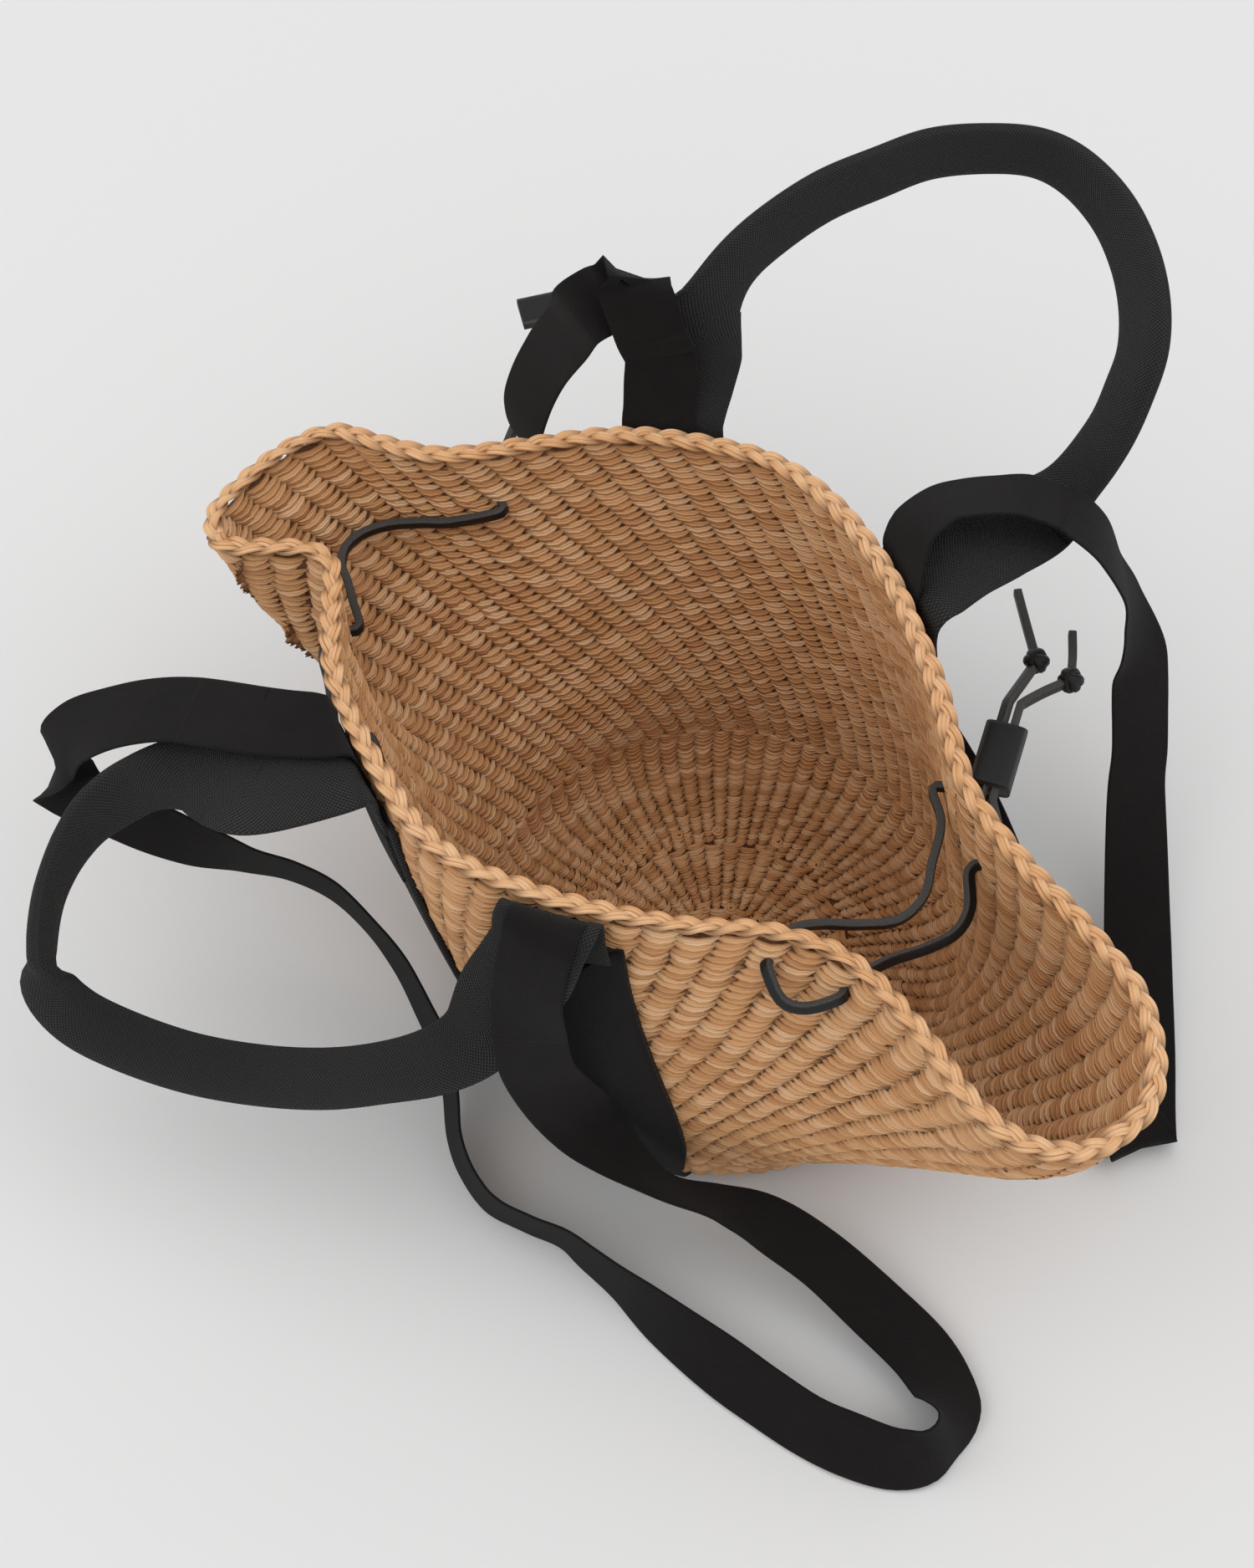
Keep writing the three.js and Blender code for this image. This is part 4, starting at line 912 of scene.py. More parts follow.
def swept(line: np.ndarray, side: np.ndarray, top: np.ndarray, wide: float, tall: float,
          sides: int) -> np.ndarray:
    """Points of oval rings along a line, wide and tall in the two directions across it."""
    t = around(sides)[:, None]
    across = side[:, None] * (wide * np.cos(t)) + top[:, None] * (tall * np.sin(t))
    return (line[:, None] + across).reshape(-1, 3)


def section(points: int, roundness: float) -> np.ndarray:
    """Rounded rectangle from -1 to 1 each way, as a superellipse."""
    t = around(points)
    c, s = np.cos(t), np.sin(t)
    return np.stack([np.sign(c) * abs(c) ** roundness, np.sign(s) * abs(s) ** roundness], 1)


def strip(rows: Sequence[Sequence[float]], spacing: float, points: int, flat: float = 0.35,
          full: float = 0.8, selvedge: float = 0.0) -> MeshData:
    """Closed strip swept along rows of x, y, z, width direction, half width and half thickness.

    Args:
        rows: the rows, in millimetres.
        spacing: step between rings.
        points: points round a ring.
        flat: roundness of a ring that is much wider than thick.
        full: roundness of a ring that is nearly round.
        selvedge: extra half thickness at the two edges, in millimetres.

    Returns:
        The mesh, with a weave vector and an edge value at each vertex.
    """
    line = stations(rows, spacing)
    centre = line[:, :3]
    along = unit(np.gradient(centre, axis=0))
    width = unit(line[:, 3:6] - along * np.sum(line[:, 3:6] * along, axis=1, keepdims=True))
    thick = np.cross(along, width)
    run = run_along(centre)
    rings, weave, edge = [], [], []
    for i, (a, b) in enumerate(line[:, 6:8]):
        share = eased(b / a, 0.12, 0.3)
        ring = section(points, flat + (full - flat) * share)
        lift = selvedge * eased(abs(ring[:, 0]), 0.86, 0.1) * (1 - share)
        u, v = ring[:, 0] * a, ring[:, 1] * (b + lift)
        rings.append(centre[i] + u[:, None] * width[i] + v[:, None] * thick[i])
        lap = run_along(np.stack([u, v], 1))
        weave.append(np.stack([lap, np.full(points, run[i]), ring[:, 1] * b], 1))
        edge.append(eased(abs(ring[:, 0]), 0.8, 0.12))
    faces = loft_faces(len(line), points)
    return MeshData(np.vstack(rings), faces, {"edge": np.concatenate(edge)}, {"weave": np.vstack(weave)})


def strand_template() -> MeshData:
    """One strand of the weave where it shows: a crescent one unit long with both ends tucked in."""
    along = (-1.0, -0.8, -0.45, 0.0, 0.45, 0.8, 1.0)
    sides, crest = 6, -0.12
    points, grain, depth = [], [], []
    for t in along:
        body = 1 - abs((t - crest) / 1.12) ** 2.2 if t > crest else 1 - 0.75 * abs((t - crest) / 0.88) ** 2.4
        body = max(0.0, body)
        low = 0.9 * max(0.0, -t) ** 5 + 0.3 * max(0.0, t) ** 6
        for angle in around(sides):
            c, s = math.cos(angle), math.sin(angle)
            y = 0.5 * (0.08 + 0.92 * body) * c + 0.78 * t * t + 0.2 * t - 0.26
            z = 0.5 * (0.3 + 0.7 * body) * s + 0.46 * (1 - t * t) - 0.28 + 0.08 * t
            points.append((0.5 * t, y, z))
            grain.append((t * 6, c * 3, s))
            # Depth value for painted shade: darker at the tucked ends, on the underside and along the lower
            # edge.
            depth.append(low + 0.4 * max(0.0, -s) + 0.3 * max(0.0, -c) ** 2)
    faces = loft_faces(len(along), sides)
    return MeshData(np.array(points), faces, {"depth": np.clip(depth, 0, 1)}, {"grain": np.array(grain)})


class WeaveTool:
    """Geometry Nodes group that puts a strand on each point of a cloud."""

    SWING = 0.09
    SIZE_VARIATION = 0.13

    def __init__(self, template: bpy.types.Object, material: bpy.types.Material) -> None:
        self.tree = bpy.data.node_groups.new("weave_strands", "GeometryNodeTree")
        face = self.tree.interface
        face.new_socket("Geometry", in_out="INPUT", socket_type="NodeSocketGeometry")
        face.new_socket("Geometry", in_out="OUTPUT", socket_type="NodeSocketGeometry")
        self.settings = {}
        self.seed_id = ""
        for name, kind, value in (
            ("Strand", "Object", template), ("Seed", "Int", 0), ("Swing", "Float", self.SWING),
            ("Size variation", "Float", self.SIZE_VARIATION), ("Finish", "Material", material),
        ):
            socket = face.new_socket(name, in_out="INPUT", socket_type=f"NodeSocket{kind}")
            self.settings[socket.identifier] = value
            if name == "Seed":
                self.seed_id = socket.identifier
        self._wire()

    def _node(self, kind: str, **settings) -> bpy.types.Node:
        node = self.tree.nodes.new(kind)
        for key, value in settings.items():
            setattr(node, key, value)
        return node

    def _named(self, name: str) -> bpy.types.NodeSocket:
        """Vector attribute of the points."""
        node = self._node("GeometryNodeInputNamedAttribute", data_type="FLOAT_VECTOR")
        node.inputs["Name"].default_value = name
        return next(s for s in node.outputs if s.name == "Attribute" and s.enabled)

    def _spread(self, amount: bpy.types.NodeSocket, seed: bpy.types.NodeSocket) -> bpy.types.NodeSocket:
        """Random vector between minus and plus an amount."""
        link = self.tree.links.new
        minus = self._node("ShaderNodeMath", operation="MULTIPLY")
        minus.inputs[1].default_value = -1.0
        link(amount, minus.inputs[0])
        spread = self._node("FunctionNodeRandomValue", data_type="FLOAT_VECTOR")
        low, high = [s for s in spread.inputs if s.name in ("Min", "Max") and s.type == "VECTOR"]
        link(minus.outputs[0], low)
        link(amount, high)
        link(seed, spread.inputs["Seed"])
        return next(s for s in spread.outputs if s.type == "VECTOR")

    def _wire(self) -> None:
        """Join the nodes of the group."""
        node, link = self._node, self.tree.links.new
        source, sink = node("NodeGroupInput"), node("NodeGroupOutput")
        given = source.outputs
        points = node("GeometryNodeMeshToPoints")
        strand = node("GeometryNodeObjectInfo", transform_space="ORIGINAL")
        first = node("FunctionNodeAlignRotationToVector", axis="Z")
        second = node("FunctionNodeAlignRotationToVector", axis="X", pivot_axis="Z")
        wobble = node("FunctionNodeEulerToRotation")
        turn = node("FunctionNodeRotateRotation", rotation_space="LOCAL")
        one = node("ShaderNodeVectorMath", operation="ADD")
        one.inputs[1].default_value = (1, 1, 1)
        size = node("ShaderNodeVectorMath", operation="MULTIPLY")
        place = node("GeometryNodeInstanceOnPoints")
        tone = node("FunctionNodeRandomValue", data_type="FLOAT")
        store = node("GeometryNodeStoreNamedAttribute", data_type="FLOAT", domain="INSTANCE")
        store.inputs["Name"].default_value = "tone"
        real = node("GeometryNodeRealizeInstances")
        paint = node("GeometryNodeSetMaterial")
        for output, entry in (
            (given["Geometry"], points.inputs["Mesh"]),
            (given["Strand"], strand.inputs["Object"]),
            (self._named("out"), first.inputs["Vector"]),
            (first.outputs["Rotation"], second.inputs["Rotation"]),
            (self._named("along"), second.inputs["Vector"]),
            (self._spread(given["Swing"], given["Seed"]), wobble.inputs["Euler"]),
            (second.outputs["Rotation"], turn.inputs["Rotation"]),
            (wobble.outputs["Rotation"], turn.inputs["Rotate By"]),
            (self._spread(given["Size variation"], given["Seed"]), one.inputs[0]),
            (one.outputs["Vector"], size.inputs[0]),
            (self._named("size"), size.inputs[1]),
            (points.outputs["Points"], place.inputs["Points"]),
            (strand.outputs["Geometry"], place.inputs["Instance"]),
            (turn.outputs["Rotation"], place.inputs["Rotation"]),
            (size.outputs["Vector"], place.inputs["Scale"]),
            (place.outputs["Instances"], store.inputs["Geometry"]),
            (given["Seed"], tone.inputs["Seed"]),
            (next(s for s in tone.outputs if s.type == "VALUE" and s.enabled),
             next(s for s in store.inputs if s.name == "Value" and s.enabled)),
            (store.outputs["Geometry"], real.inputs["Geometry"]),
            (real.outputs["Geometry"], paint.inputs["Geometry"]),
            (given["Finish"], paint.inputs["Material"]),
            (paint.outputs["Geometry"], sink.inputs["Geometry"]),
        ):
            link(output, entry)

    def weave(self, name: str, strands: Sequence[tuple], seed: int) -> None:
        """Turn strands into one plain mesh on the bag body.

        Args:
            name: object name.
            strands: rows of points, directions along and out, and sizes, in millimetres.
            seed: seed of the random swing, size and tone.
        """
        points, along, out, size = [np.vstack(values) for values in zip(*strands)]
        data = MeshData(points, [], {}, {"along": along, "out": out, "size": size * MM})
        cloud = make_mesh(name + "_points", data)
        holder = add_object(name + "_holder", cloud)
        modifier = holder.modifiers.new("weave", "NODES")
        modifier.node_group = self.tree
        for key, value in {**self.settings, self.seed_id: seed}.items():
            modifier[key] = value
        holder.update_tag()
        bpy.context.view_layer.update()
        graph = bpy.context.evaluated_depsgraph_get()
        mesh = bpy.data.meshes.new_from_object(holder.evaluated_get(graph), depsgraph=graph)
        mesh.name = name
        bpy.data.objects.remove(holder)
        add_piece(mesh, Slot.STRAW, "bag")


class StrawBody:
    """Base, wall and rim of the bag."""

    def __init__(self, finishes: Finishes) -> None:
        self.finishes = finishes
        self.strand = bpy.data.objects.new("strand", make_mesh("strand", strand_template(), 1.0))
        self.tool = WeaveTool(self.strand, finishes.straw)

    def build(self) -> None:
        """Make every straw piece."""
        self.core()
        for part in range(3):
            for side, name in ((1, "outer"), (-1, "inner")):
                seed = SEED + part + (0 if side > 0 else 10)
                self.tool.weave(f"wall_{name}_weave_{part + 1}", self.wall_strands(part, side), seed)
        self.tool.weave("base_inner_weave", self.base_strands(-1), SEED + 20)
        self.tool.weave("base_outer_weave", self.base_strands(1), SEED + 21)
        self.rim()
        self.coils()
        bpy.data.objects.remove(self.strand)

    def core(self) -> None:
        """Skin behind the strands, in the wall and in the base, painted dark as shade."""
        places = np.linspace(0, WALL.count, 240, endpoint=False)
        faces = []
        for depth in CORE_DEPTHS:
            faces.append([WALL.at_depth(places, up, depth)[0] for up in np.linspace(0.0, 1.0, 18)])
        self.skin("wall_core", faces[0] + faces[1][::-1], "woven_wall")
        self.skin("base_core", self.tray(CORE_HEIGHTS[0]) + self.tray(CORE_HEIGHTS[1])[::-1], "woven_base")

    def tray(self, height: float) -> list[np.ndarray]:
        """Rings of the base's skin at one height over the ground, from its middle up the corner."""
        reach = CORNER_RADIUS - height
        places = [(radius, height) for radius in (0.5, 30, 60, FLAT_RADIUS)]
        for turn in np.radians((25, 50, 75, 90)):
            places.append((FLAT_RADIUS + reach * math.sin(turn), CORNER_RADIUS - reach * math.cos(turn)))
        t = np.linspace(0, 2 * np.pi, 96, endpoint=False)
        return [np.stack([radius * np.cos(t), radius * np.sin(t), 0 * t + z], 1) for radius, z in places]

    def skin(self, name: str, rings: list, node: str) -> None:
        """Closed skin through rings of the same length."""
        faces = loft_faces(len(rings), len(rings[0]), closed=True)
        make_piece(name, MeshData(np.vstack(rings), faces), self.finishes.core, Slot.STRAW, "bag", node)

    def wall_strands(self, part: int, side: int) -> list[tuple]:
        """Strands of one third of the wall's height, outside for side 1 and inside for side -1."""
        strands = []
        columns = np.arange(WALL_COLUMNS)
        depth = STRAND_SINK if side > 0 else STRAW_THICKNESS - STRAND_SINK
        for row in range(WALL_ROWS * part // 3, WALL_ROWS * (part + 1) // 3):
            for half in (0, 1):
                up = (row + 0.25 + 0.5 * half) / WALL_ROWS
                chosen = columns[(columns + half + (side < 0)) % 2 == 0]
                share = (chosen + 0.5) / WALL_COLUMNS - WALL_TWIST * up
                place = WALL.place_at(share, up)
                points, along, out = WALL.at_depth(place, up, depth)
                pitch = distance(*(WALL.point(place, up + step / WALL_ROWS) for step in (0.5, -0.5)))
                after = WALL.place_at(share + 1 / WALL_COLUMNS, up)
                span = distance(WALL.point(after, up), WALL.point(place, up))
                size = np.stack([span * SPAN_LAP, pitch * PITCH_LAP, 0 * span + STRAND_HEIGHT], 1)
                strands.append((points, along * -side, out * side, size))
        return strands

    def base_strands(self, side: int) -> list[tuple]:
        """Strands of the base, in rings round its centre and up its corner, outside for side 1."""
        strands = []
        depth = BASE_DEPTHS[side < 0]
        for run in np.arange(BASE_START, FLAT_RADIUS + CORNER_RADIUS * math.pi / 2, BASE_PITCH):
            count = next((count for end, count in BASE_SPOKES if run < end), WALL_COLUMNS)
            tilt = max(0.0, run - FLAT_RADIUS) / CORNER_RADIUS
            radius = min(run, FLAT_RADIUS) + CORNER_RADIUS * math.sin(tilt)
            height = CORNER_RADIUS * (1 - math.cos(tilt))
            for half in (0, 1):
                k = np.arange(count)
                t = (k[(k + half + (side < 0)) % 2 == 0] + 0.5) / count * 2 * np.pi
                spoke = np.stack([np.cos(t), np.sin(t), 0 * t], 1)
                step = BASE_PITCH / 2 * half
                out = spoke * math.sin(tilt) - [0, 0, math.cos(tilt)]
                at = spoke * (radius + step * math.cos(tilt)) + [0, 0, height + step * math.sin(tilt)]
                tangent = np.stack([-np.sin(t), np.cos(t), 0 * t], 1)
                size = (2 * math.pi * radius / count * BASE_SPAN_LAP, BASE_STRAND_WIDTH, STRAND_HEIGHT)
                strands.append((at - out * depth, tangent * side, out * side, np.tile(size, (len(t), 1))))
        return strands

    def coils(self) -> None:
        """Small coiled ends of straw where spokes were added to the base."""
        coils = []
        rng = np.random.default_rng(SEED + 3)
        steps, sides = 22, 6
        for radius, angles in COILS:
            for angle in np.radians(angles):
                turns = np.linspace(0, 1, steps)
                turn = turns * 2 * math.pi * COIL_TURNS + rng.random() * 6
                reach = 0.7 + 2.3 * turns
                centre = [radius * math.cos(angle), radius * math.sin(angle), COIL_HEIGHT]
                line = centre + np.stack([reach * np.cos(turn), reach * np.sin(turn), 0.9 - 1.1 * turns], 1)
                top = np.tile([0.0, 0.0, 1.0], (steps, 1))
                side = unit(np.cross(np.gradient(line, axis=0), top))
                points = swept(line, side, top, COIL_RADIUS, COIL_RADIUS, sides)
                count = len(points)
                grain = [np.repeat(turns * 9, sides), np.tile(np.arange(sides) * 0.4, steps),
                         np.full(count, angle)]
                # Depth 0.1 gives the coils a little painted shade.
                scalars = {"depth": np.full(count, 0.1), "tone": np.full(count, 0.55)}
                vectors = {"grain": np.stack(grain, 1)}
                coils.append(MeshData(points, loft_faces(steps, sides), scalars, vectors))
        make_piece("base_coils", joined(coils), self.finishes.straw, Slot.STRAW, "bag")

    def rim(self) -> None:
        """Plaited edge of three flat strands, each of three straws."""
        count, sides = 1000, 6
        turns = np.linspace(0, 1, count, endpoint=False)
        places = WALL.place_at(turns, 1.0)
        at = WALL.point(places, 1.0)
        _, rise, out = WALL.frame(places, np.ones(count))
        rng = np.random.default_rng(SEED)
        straws = []
        for strand in range(3):
            t = turns * 2 * np.pi * RIM_CROSSINGS + strand * 2 * np.pi / 3
            lift = RIM_LIFT * np.sin(2 * t)
            spine = at + out * (RIM_SWAY * (np.sin(t) - 1))[:, None] + rise * (RIM_SEAT + lift)[:, None]
            way = unit(np.roll(spine, -1, axis=0) - np.roll(spine, 1, axis=0))
            flat = unit(np.cross(rise, way))
            top = np.cross(way, flat)
            for ply in range(3):
                sway = (ply - 1) * RIM_PLY + 0.25 * np.sin(t * 0.37 + ply * 2.1)
                centre = spine + flat * sway[:, None] + top * (0.35 * (ply == 1))
                points = swept(centre, flat, top, *RIM_STRAW, sides)
                grain = [np.repeat(np.arange(count) * 1.0, sides), np.tile(np.cos(around(sides)), count),
                         np.full(count * sides, strand * 9.0 + ply)]
                # Painted shade on the plait, heavier where a strand dips under the others.
                low = np.repeat(np.clip(0.3 - lift * 0.32, 0, 0.65), sides)
                tone = np.repeat(0.5 + 0.35 * rng.random() + 0.15 * np.sin(t * 0.11 + ply), sides)
                faces = loft_faces(count, sides, closed=True, turned=True)
                vectors = {"grain": np.stack(grain, 1)}
                straws.append(MeshData(points, faces, {"depth": low, "tone": tone}, vectors))
        make_piece("rim_plait_strands", joined(straws), self.finishes.straw, Slot.STRAW, "bag", "rim_plait")


def place_over_base(x: np.ndarray, start: float) -> np.ndarray:
    """Rim places where the wall stands over given x of the base circle."""
    places = start + np.arange(-400, 401) / 80
    angles = np.radians(WALL.values(places)[:, 3])
    far = WALL.values(start)[1] > 0
    keep = (np.sin(angles) > 0) == far
    over, places = BASE_RADIUS * np.cos(angles[keep]), places[keep]
    order = np.argsort(over)
    return np.interp(x, over[order], places[order])


Rows = list[tuple[np.ndarray, np.ndarray]]


@dataclass
class Band:
    """Coarse webbing from one fold to the other, down the wall and under the base."""

    name: str
    near: Fold
    far: Fold
    x: float
    finishes: Finishes
    count: int = 17

    @property
    def shares(self) -> np.ndarray:
        """Places across the band, as shares of its width from its middle."""
        return np.linspace(-0.5, 0.5, self.count)

    def across(self, fold: Fold, up: float, u: np.ndarray) -> tuple[np.ndarray, np.ndarray]:
        """Points and outward directions at shares of the band's width, at one height."""
        flow = np.sign(np.dot(WALL.frame(fold.place, 0.5)[0], fold.along))
        step = distance(WALL.point(fold.place + 0.1, up), WALL.point(fold.place - 0.1, up)) / 0.2
        base = place_over_base(self.x + u * BAND_WIDTH, fold.place)
        place = base + (fold.place + flow * u * BAND_WIDTH / step - base) * up
        return WALL.point(place, up), WALL.frame(place, np.full(len(u), up))[2]

    def half(self, fold: Fold) -> Rows:
        """Rows from the top of one half down to the ground."""
        rows = [self.across(fold, up, self.shares) for up in np.linspace(*BAND_SPAN, 40)]
        x = self.x + self.shares * BAND_WIDTH
        for turn in np.radians(np.linspace(*CORNER_TURNS, 9)):
            reach = BASE_RADIUS - CORNER_RADIUS * (1 - math.sin(turn))
            y = np.sqrt(reach**2 - x**2) * np.sign(fold.at[1])
            out = unit(np.stack([x, y, 0 * x], 1)) * math.sin(turn) - [0, 0, math.cos(turn)]
            rows.append((np.stack([x, y, 0 * x + CORNER_RADIUS * (1 - math.cos(turn))], 1), out))
        return rows

    def under(self) -> Rows:
        """Rows of the flat stretch under the base."""
        x = self.x + self.shares * BAND_WIDTH
        reach = np.sqrt(FLAT_RADIUS**2 - x**2)
        down = np.tile([0.0, 0.0, -1.0], (self.count, 1))
        return [(np.stack([x, share * reach, 0 * x + BAND_THICKNESS + GAP], 1), down)
                for share in np.linspace(-UNDER_SHARE, UNDER_SHARE, 25)]

    def sheet(self, rows: Rows, low: float, high: float | np.ndarray, sides: Iterable,
              runs: Iterable) -> MeshData:
        """Closed sheet over rows of the wall.

        Args:
            rows: points and outward directions of each row.
            low: distance of the inner face from the wall.
            high: distance of the outer face, one value or one for each place across.
            sides: weave coordinates across each row.
            runs: weave coordinate along the sheet, one for each row.
        """
        n = 2 * self.count
        outer = np.broadcast_to(high, self.count)[:, None]
        rings = [np.vstack([at + out * low, (at + out * outer)[::-1]]) for at, out in rows]
        weave = [np.stack([np.append(side, side[::-1]), np.full(n, run), np.zeros(n)], 1)
                 for side, run in zip(sides, runs)]
        faces = loft_faces(len(rings), n, turned=True)
        edge = np.zeros(len(rings) * n)
        return MeshData(np.vstack(rings), faces, {"edge": edge}, {"weave": np.vstack(weave)})

    def build(self) -> None:
        """Make the band."""
        rows = self.half(self.near) + self.under() + self.half(self.far)[::-1]
        swell = 1 + BAND_SELVEDGE * eased(abs(self.shares), 0.4, 0.08)
        runs = run_along([at[self.count // 2] for at, _ in rows])
        sides = [self.shares * BAND_WIDTH] * len(rows)
        data = self.sheet(rows, GAP, GAP + BAND_THICKNESS * swell, sides, runs)
        make_piece(self.name + "_webbing", data, self.finishes.coarse, Slot.COARSE, "bag", self.name)

    def facing(self, fold: Fold, name: str) -> None:
        """Twill that lies over one edge of the band, with a slanting selvedge at its top."""
        rows = []
        for up in np.linspace(*FACING_SPAN, 36):
            start = FACING_START - FACING_SLANT * min(1.0, (FACING_SPAN[0] - up) / FACING_SLANT_HEIGHT)
            rows.append(self.across(fold, up, np.linspace(start, 0.5, self.count)))
        sides = [run_along(at) for at, _ in rows]
        runs = run_along([at[-1] for at, _ in rows])
        high = GAP + BAND_THICKNESS + FACING_THICKNESS
        data = self.sheet(rows, GAP + BAND_THICKNESS / 2, high, sides, runs)
        make_piece(name, data, self.finishes.twill, Slot.TWILL, "bag")

    def patch(self, fold: Fold) -> None:
        """Square of stitching that holds the layers to the wall."""
        node = fold.name + "_tack"
        u = self.shares * TACK_SIDE / BAND_WIDTH
        rows = [self.across(fold, up, u) for up in np.linspace(*TACK_SPAN, 9)]
        high = 3 * GAP + BAND_THICKNESS + TACK_THICKNESS
        sides = [self.shares * TACK_SIDE] * len(rows)
        data = self.sheet(rows, GAP + BAND_THICKNESS / 2, high, sides, 3.5 * np.arange(len(rows)))
        make_piece(node + "_square", data, self.finishes.coarse, Slot.STITCHING, "bag", node)

    def bridge(self, fold: Fold, loop: "Loop") -> None:
        """Bend of a loop's webbing, from the wall behind the rim over to the loop's first rows."""
        share, skip, lead = BEND_LEADS[(loop.name, fold.name)]
        ends = loop.rows if loop.starts_at(fold) else loop.rows[::-1]
        half = loop.bend_width / 2
        thick, lifts = (FLAT_T, HANDLE_LIFTS) if loop.slot == Slot.COARSE else (TAPE_T, STRAP_LIFTS)
        rows = []
        for up, lift in zip(BEND_SPAN, lifts):
            at, out = self.across(fold, up, share + np.array([-0.1, 0, 0.1]))
            side = unit(at[2] - at[0])
            side = side if np.dot(side, lead[0][3:6]) > 0 else -side
            rows.append([*(at[1] + out[1] * (GAP + BAND_THICKNESS + lift)), *side, half, thick])
        rows += [[*row, half, thick] for row in lead]
        for index, row in enumerate(ends[skip:skip + 2]):
            rows.append([*row[:6], loop.wide(row, index) + BEND_LAP, row[7] + BEND_LAP])
        data = strip(rows, BEND_STEP, LOOP_SIDES, selvedge=loop.selvedge)
        piece = make_piece(f"{loop.name}_{fold.name}_bend", data, loop.material, loop.slot, None)
        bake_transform(piece)


@dataclass
class Loop:
    """One loop of webbing or tape, with the folds that join it to the bag."""

    name: str
    rows: list
    folds: tuple[Fold, Fold]
    material: bpy.types.Material
    slot: Slot
    selvedge: float
    bend_width: float

    def starts_at(self, fold: Fold) -> bool:
        """Whether the first row of the loop is the one at this fold."""
        return bool(distance(np.array(self.rows[0][:2]), fold.at[:2]) < FOLD_REACH)

    def wide(self, row: Sequence[float], index: int) -> float:
        """Half width of a row counted from the end of the loop."""
        share = END_SHARES[index] if index < len(END_SHARES) else 0.0
        return max(row[6], self.bend_width / 2 * share) if row[7] < FLAT_HALF_LIMIT else row[6]

    def build(self) -> None:
        """Make the loop between its bends, with flat ends as wide as they are."""
        skips = {self.starts_at(fold): BEND_LEADS[(self.name, fold.name)][1] for fold in self.folds}
        rows = [list(row) for row in self.rows[skips[True]:len(self.rows) - skips[False]]]
        for end in (rows, rows[::-1]):
            for index, row in enumerate(end[:len(END_SHARES)]):
                row[6] = self.wide(row, index)
        data = strip(rows, LOOP_STEP, LOOP_SIDES, selvedge=self.selvedge)
        make_piece(self.name + "_loop", data, self.material, self.slot, self.name, self.name)


def lace_rows(rows: Sequence[Sequence[float]]) -> list:
    """Rows of a flat lace whose width turns as little as it can along its way."""
    line = stations(rows, TURN_STEP)
    side = np.array([0.0, 0.0, 1.0])
    out = []
    for at, way in zip(line, unit(np.gradient(line, axis=0))):
        side = side - way * np.dot(side, way)
        if np.linalg.norm(side) < 0.05:
            side = np.array([1.0, 0.0, 0.0]) - way * way[0]
        side = unit(side)
        out.append([*at, *side, LACE_WIDTH / 2, LACE_THICKNESS / 2])
    return out


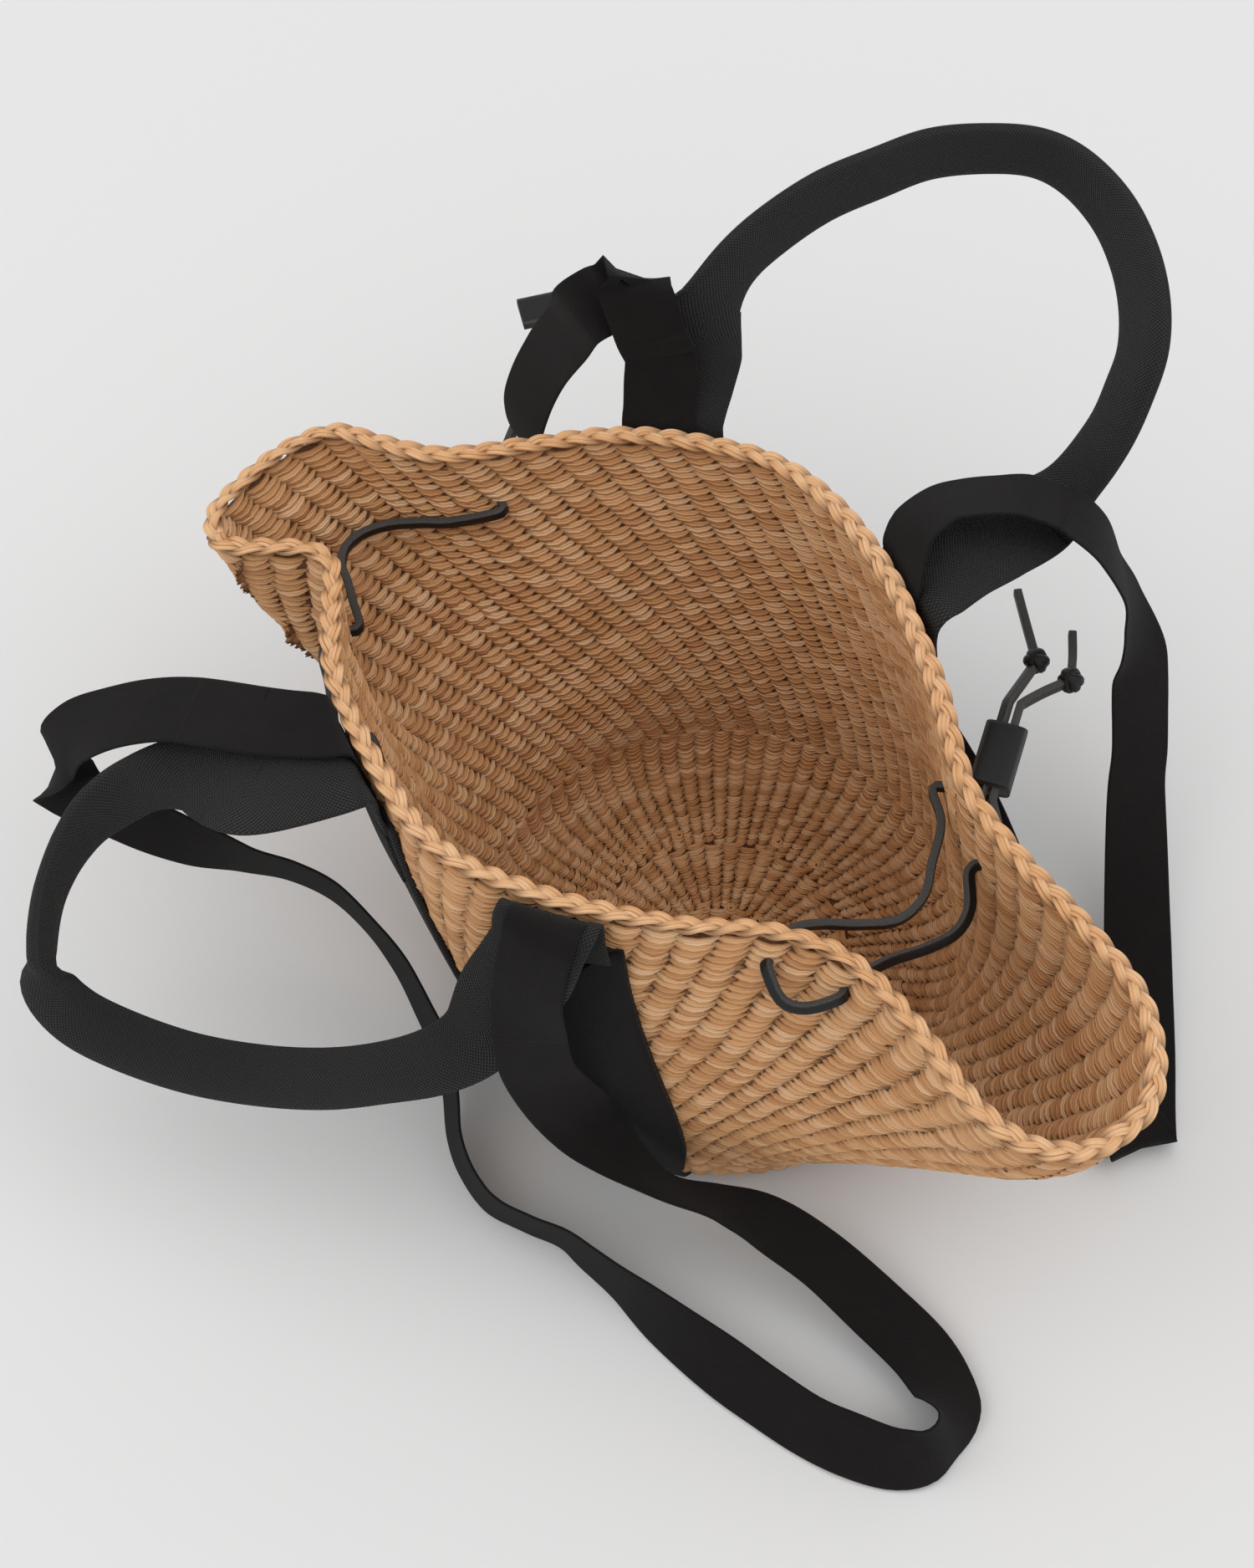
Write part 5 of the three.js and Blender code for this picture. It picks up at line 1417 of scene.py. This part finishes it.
class Leather:
    """Laces, sleeve, ring knots and pull tab."""

    def __init__(self, finishes: Finishes) -> None:
        self.material = finishes.leather

    def piece(self, name: str, data: MeshData, node: str, body: str = "bag") -> bpy.types.Object:
        """One leather piece."""
        return make_piece(name, data, self.material, Slot.LEATHER, body, node)

    def thong(self, table: list, spacing: float) -> MeshData:
        """Flat lace along its rows."""
        return strip(table, spacing, LACE_SIDES, flat=LACE_ROUNDNESS, full=LACE_ROUNDNESS)

    def lace(self, node: str, rows: Sequence, far_end: str, *pieces: bpy.types.Object) -> None:
        table = lace_rows(rows)
        piece = self.piece(node + "_strip", self.thong(table, LACE_STEP), node)

    def knot(self, side: str, at: Sequence[float], tail: Sequence) -> bpy.types.Object:
        """Ring knot with a short tail."""
        at = np.array(at, float)
        parts = [self.thong(lace_rows([at, *tail]), LOOP_STEP)]
        steps, sides = 24, 8
        t = np.linspace(0, 2 * np.pi, steps, endpoint=False)[:, None]
        for tilt in (0, 1.05, 2.1):
            axis = unit([math.cos(tilt), math.sin(tilt), 0.4])
            u = unit(np.cross(axis, [0, 0, 1]))
            out = np.cos(t) * u + np.sin(t) * np.cross(axis, u)
            points = swept(at + KNOT_RING * out, out, np.tile(axis, (steps, 1)), *KNOT_STRAND, sides)
            weave = [np.tile(np.arange(sides) * 1.5, steps), np.repeat(np.arange(steps) * 1.0, sides)]
            zero = np.zeros(len(points))
            faces = loft_faces(steps, sides, closed=True)
            parts.append(MeshData(points, faces, {"edge": zero}, {"weave": np.stack([*weave, zero], 1)}))
        name, node = KNOT_NAMES[side]
        return self.piece(name, joined(parts), node)

    def tab(self) -> bpy.types.Object:
        """Folded pull tab on the end of the left lace."""
        ends = (TAB_AT, TAB_AT + TAB_ALONG * TAB_LENGTH)
        rows = [[*at, *TAB_ACROSS, TAB_WIDTH / 2, TAB_THICKNESS / 2] for at in ends]
        return self.piece("left_pull_tab", strip(rows, LOOP_STEP, 28, flat=0.25, full=0.25), "left_tab")

    def sleeve(self) -> None:
        """Folded leather sleeve that slides on both strands."""
        ends = [strand_point(along, 0) for along in (-SLEEVE_LENGTH / 2, SLEEVE_LENGTH / 2)]
        rows = [[*at, *SLEEVE_ACROSS, SLEEVE_WIDTH / 2, SLEEVE_THICKNESS / 2] for at in ends]
        data = strip(rows, LOOP_STEP, 32, flat=0.5, full=0.5)
        self.piece("right_slide_sleeve", data, "right_sleeve", "right_sleeve")

    def build(self) -> None:
        """Make all the leather pieces."""
        knot_a = self.knot("a", KNOT_A, below([(55, 163, 66), (40, 180, 70)]))
        knot_b = self.knot("b", KNOT_B, below([(80, 161, 65), (73, 173, 67)]))
        tab = self.tab()
        left_knot = self.knot("left", LEFT_KNOT, below([(-44, -101, 66)]))
        self.lace("right_lace", RIGHT_LACE, "object")
        self.lace("right_lace_end_a", RIGHT_END_A, "knot", knot_a)
        self.lace("right_lace_end_b", RIGHT_END_B, "knot", knot_b)
        self.lace("left_lace", LEFT_LACE, "knot", left_knot)
        self.lace("left_lace_end", LEFT_END, "object", tab)
        self.sleeve()


class Photo:
    """Camera, floor and light of the picture."""

    EYE = Vector((0.353, -0.585, 1.351))
    AZIMUTH = math.radians(34.8)
    ELEVATION = math.radians(60.0)
    FOCAL_SHARE = 3800.0 / 1500.0
    SENSOR = 36.0
    FLOOR_REACH = 6
    SKY_STRENGTH = 0.93
    LAMP_AIM = Vector((0, 0, 0.1))
    LAMP_SIZE = 2.2
    LAMP_POWER = 9.0
    LAMPS = {"key_light": Vector((0.7, 0.7, 2.4)), "fill_light": Vector((-1.2, -1.0, 2.1))}

    def build(self) -> None:
        """Set the scene up."""
        self.camera()
        self.floor()
        self.light()
        bpy.context.scene.view_settings.view_transform = "Standard"

    def camera(self) -> None:
        """Camera solved from the photograph."""
        az, el = self.AZIMUTH, self.ELEVATION
        right = Vector((math.cos(az), math.sin(az), 0))
        ahead = Vector((-math.sin(az) * math.cos(el), math.cos(az) * math.cos(el), -math.sin(el)))
        up = Vector((-math.sin(az) * math.sin(el), math.cos(az) * math.sin(el), math.cos(el)))
        data = bpy.data.cameras.new("photo_camera")
        data.sensor_fit = "HORIZONTAL"
        data.sensor_width = self.SENSOR
        data.lens = self.SENSOR * self.FOCAL_SHARE
        data.clip_start = 0.05
        camera = add_object("photo_camera", data)
        turn = Matrix((right, up, -ahead)).transposed().to_4x4()
        camera.matrix_world = Matrix.Translation(self.EYE) @ turn
        bpy.context.scene.camera = camera

    def floor(self) -> None:
        """Pale floor under the bag."""
        far = self.FLOOR_REACH
        mesh = bpy.data.meshes.new("studio_floor")
        mesh.from_pydata([(-far, -far, 0), (far, -far, 0), (far, far, 0), (-far, far, 0)], [], [(0, 1, 2, 3)])
        paint = Graph("floor_paint")
        paint.finish(srgb(221, 221, 221), 0.9, Specular_IOR_Level=0.1)
        mesh.materials.append(paint.material)
        add_object("studio_floor", mesh)

    def light(self) -> None:
        """White air, soft key light and fill."""
        world = bpy.data.worlds.new("studio_air")
        bpy.context.scene.world = world
        world.use_nodes = True
        air = world.node_tree.nodes["Background"].inputs
        air["Color"].default_value = (1, 1, 1, 1)
        air["Strength"].default_value = self.SKY_STRENGTH
        for name, spot in self.LAMPS.items():
            data = bpy.data.lights.new(name, "AREA")
            data.shape = "DISK"
            data.size = self.LAMP_SIZE
            data.energy = self.LAMP_POWER
            lamp = add_object(name, data)
            lamp.location = spot
            lamp.rotation_euler = (self.LAMP_AIM - spot).to_track_quat("-Z", "Y").to_euler()


def build_webbing(finishes: Finishes) -> None:
    """Make the bands, handles, straps, bends, stitching and facing."""
    left = Band("left_band", NEAR_LEFT, FAR_LEFT, LEFT_BAND_X, finishes)
    right = Band("right_band", NEAR_RIGHT, FAR_RIGHT, RIGHT_BAND_X, finishes)
    for band in (left, right):
        band.build()
    for band in (left, right):
        band.patch(band.near)
        band.patch(band.far)
    coarse = (finishes.coarse, Slot.COARSE, HANDLE_SELVEDGE, HANDLE_BEND_WIDTH)
    twill = (finishes.twill, Slot.TWILL, STRAP_SELVEDGE, STRAP_WIDTH)
    near, far = (NEAR_LEFT, NEAR_RIGHT), (FAR_LEFT, FAR_RIGHT)
    handles = Loop("near_handle", NEAR_HANDLE, near, *coarse), Loop("far_handle", FAR_HANDLE, far, *coarse)
    straps = Loop("near_strap", NEAR_STRAP, near, *twill), Loop("far_strap", FAR_STRAP, far, *twill)
    for loop in handles + straps:
        loop.build()
    for pair in zip(handles, straps):
        for index, band in enumerate((left, right)):
            for loop in pair:
                band.bridge(loop.folds[index], loop)
    right.facing(NEAR_RIGHT, "near_right_facing")


def main() -> None:
    """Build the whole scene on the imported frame."""
    logging.basicConfig(level=logging.INFO, format="%(name)s: %(message)s")
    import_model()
    finishes = Finishes()
    Photo().build()
    Leather(finishes).build()
    build_webbing(finishes)
    StrawBody(finishes).build()


if __name__ == "__main__":
    main()
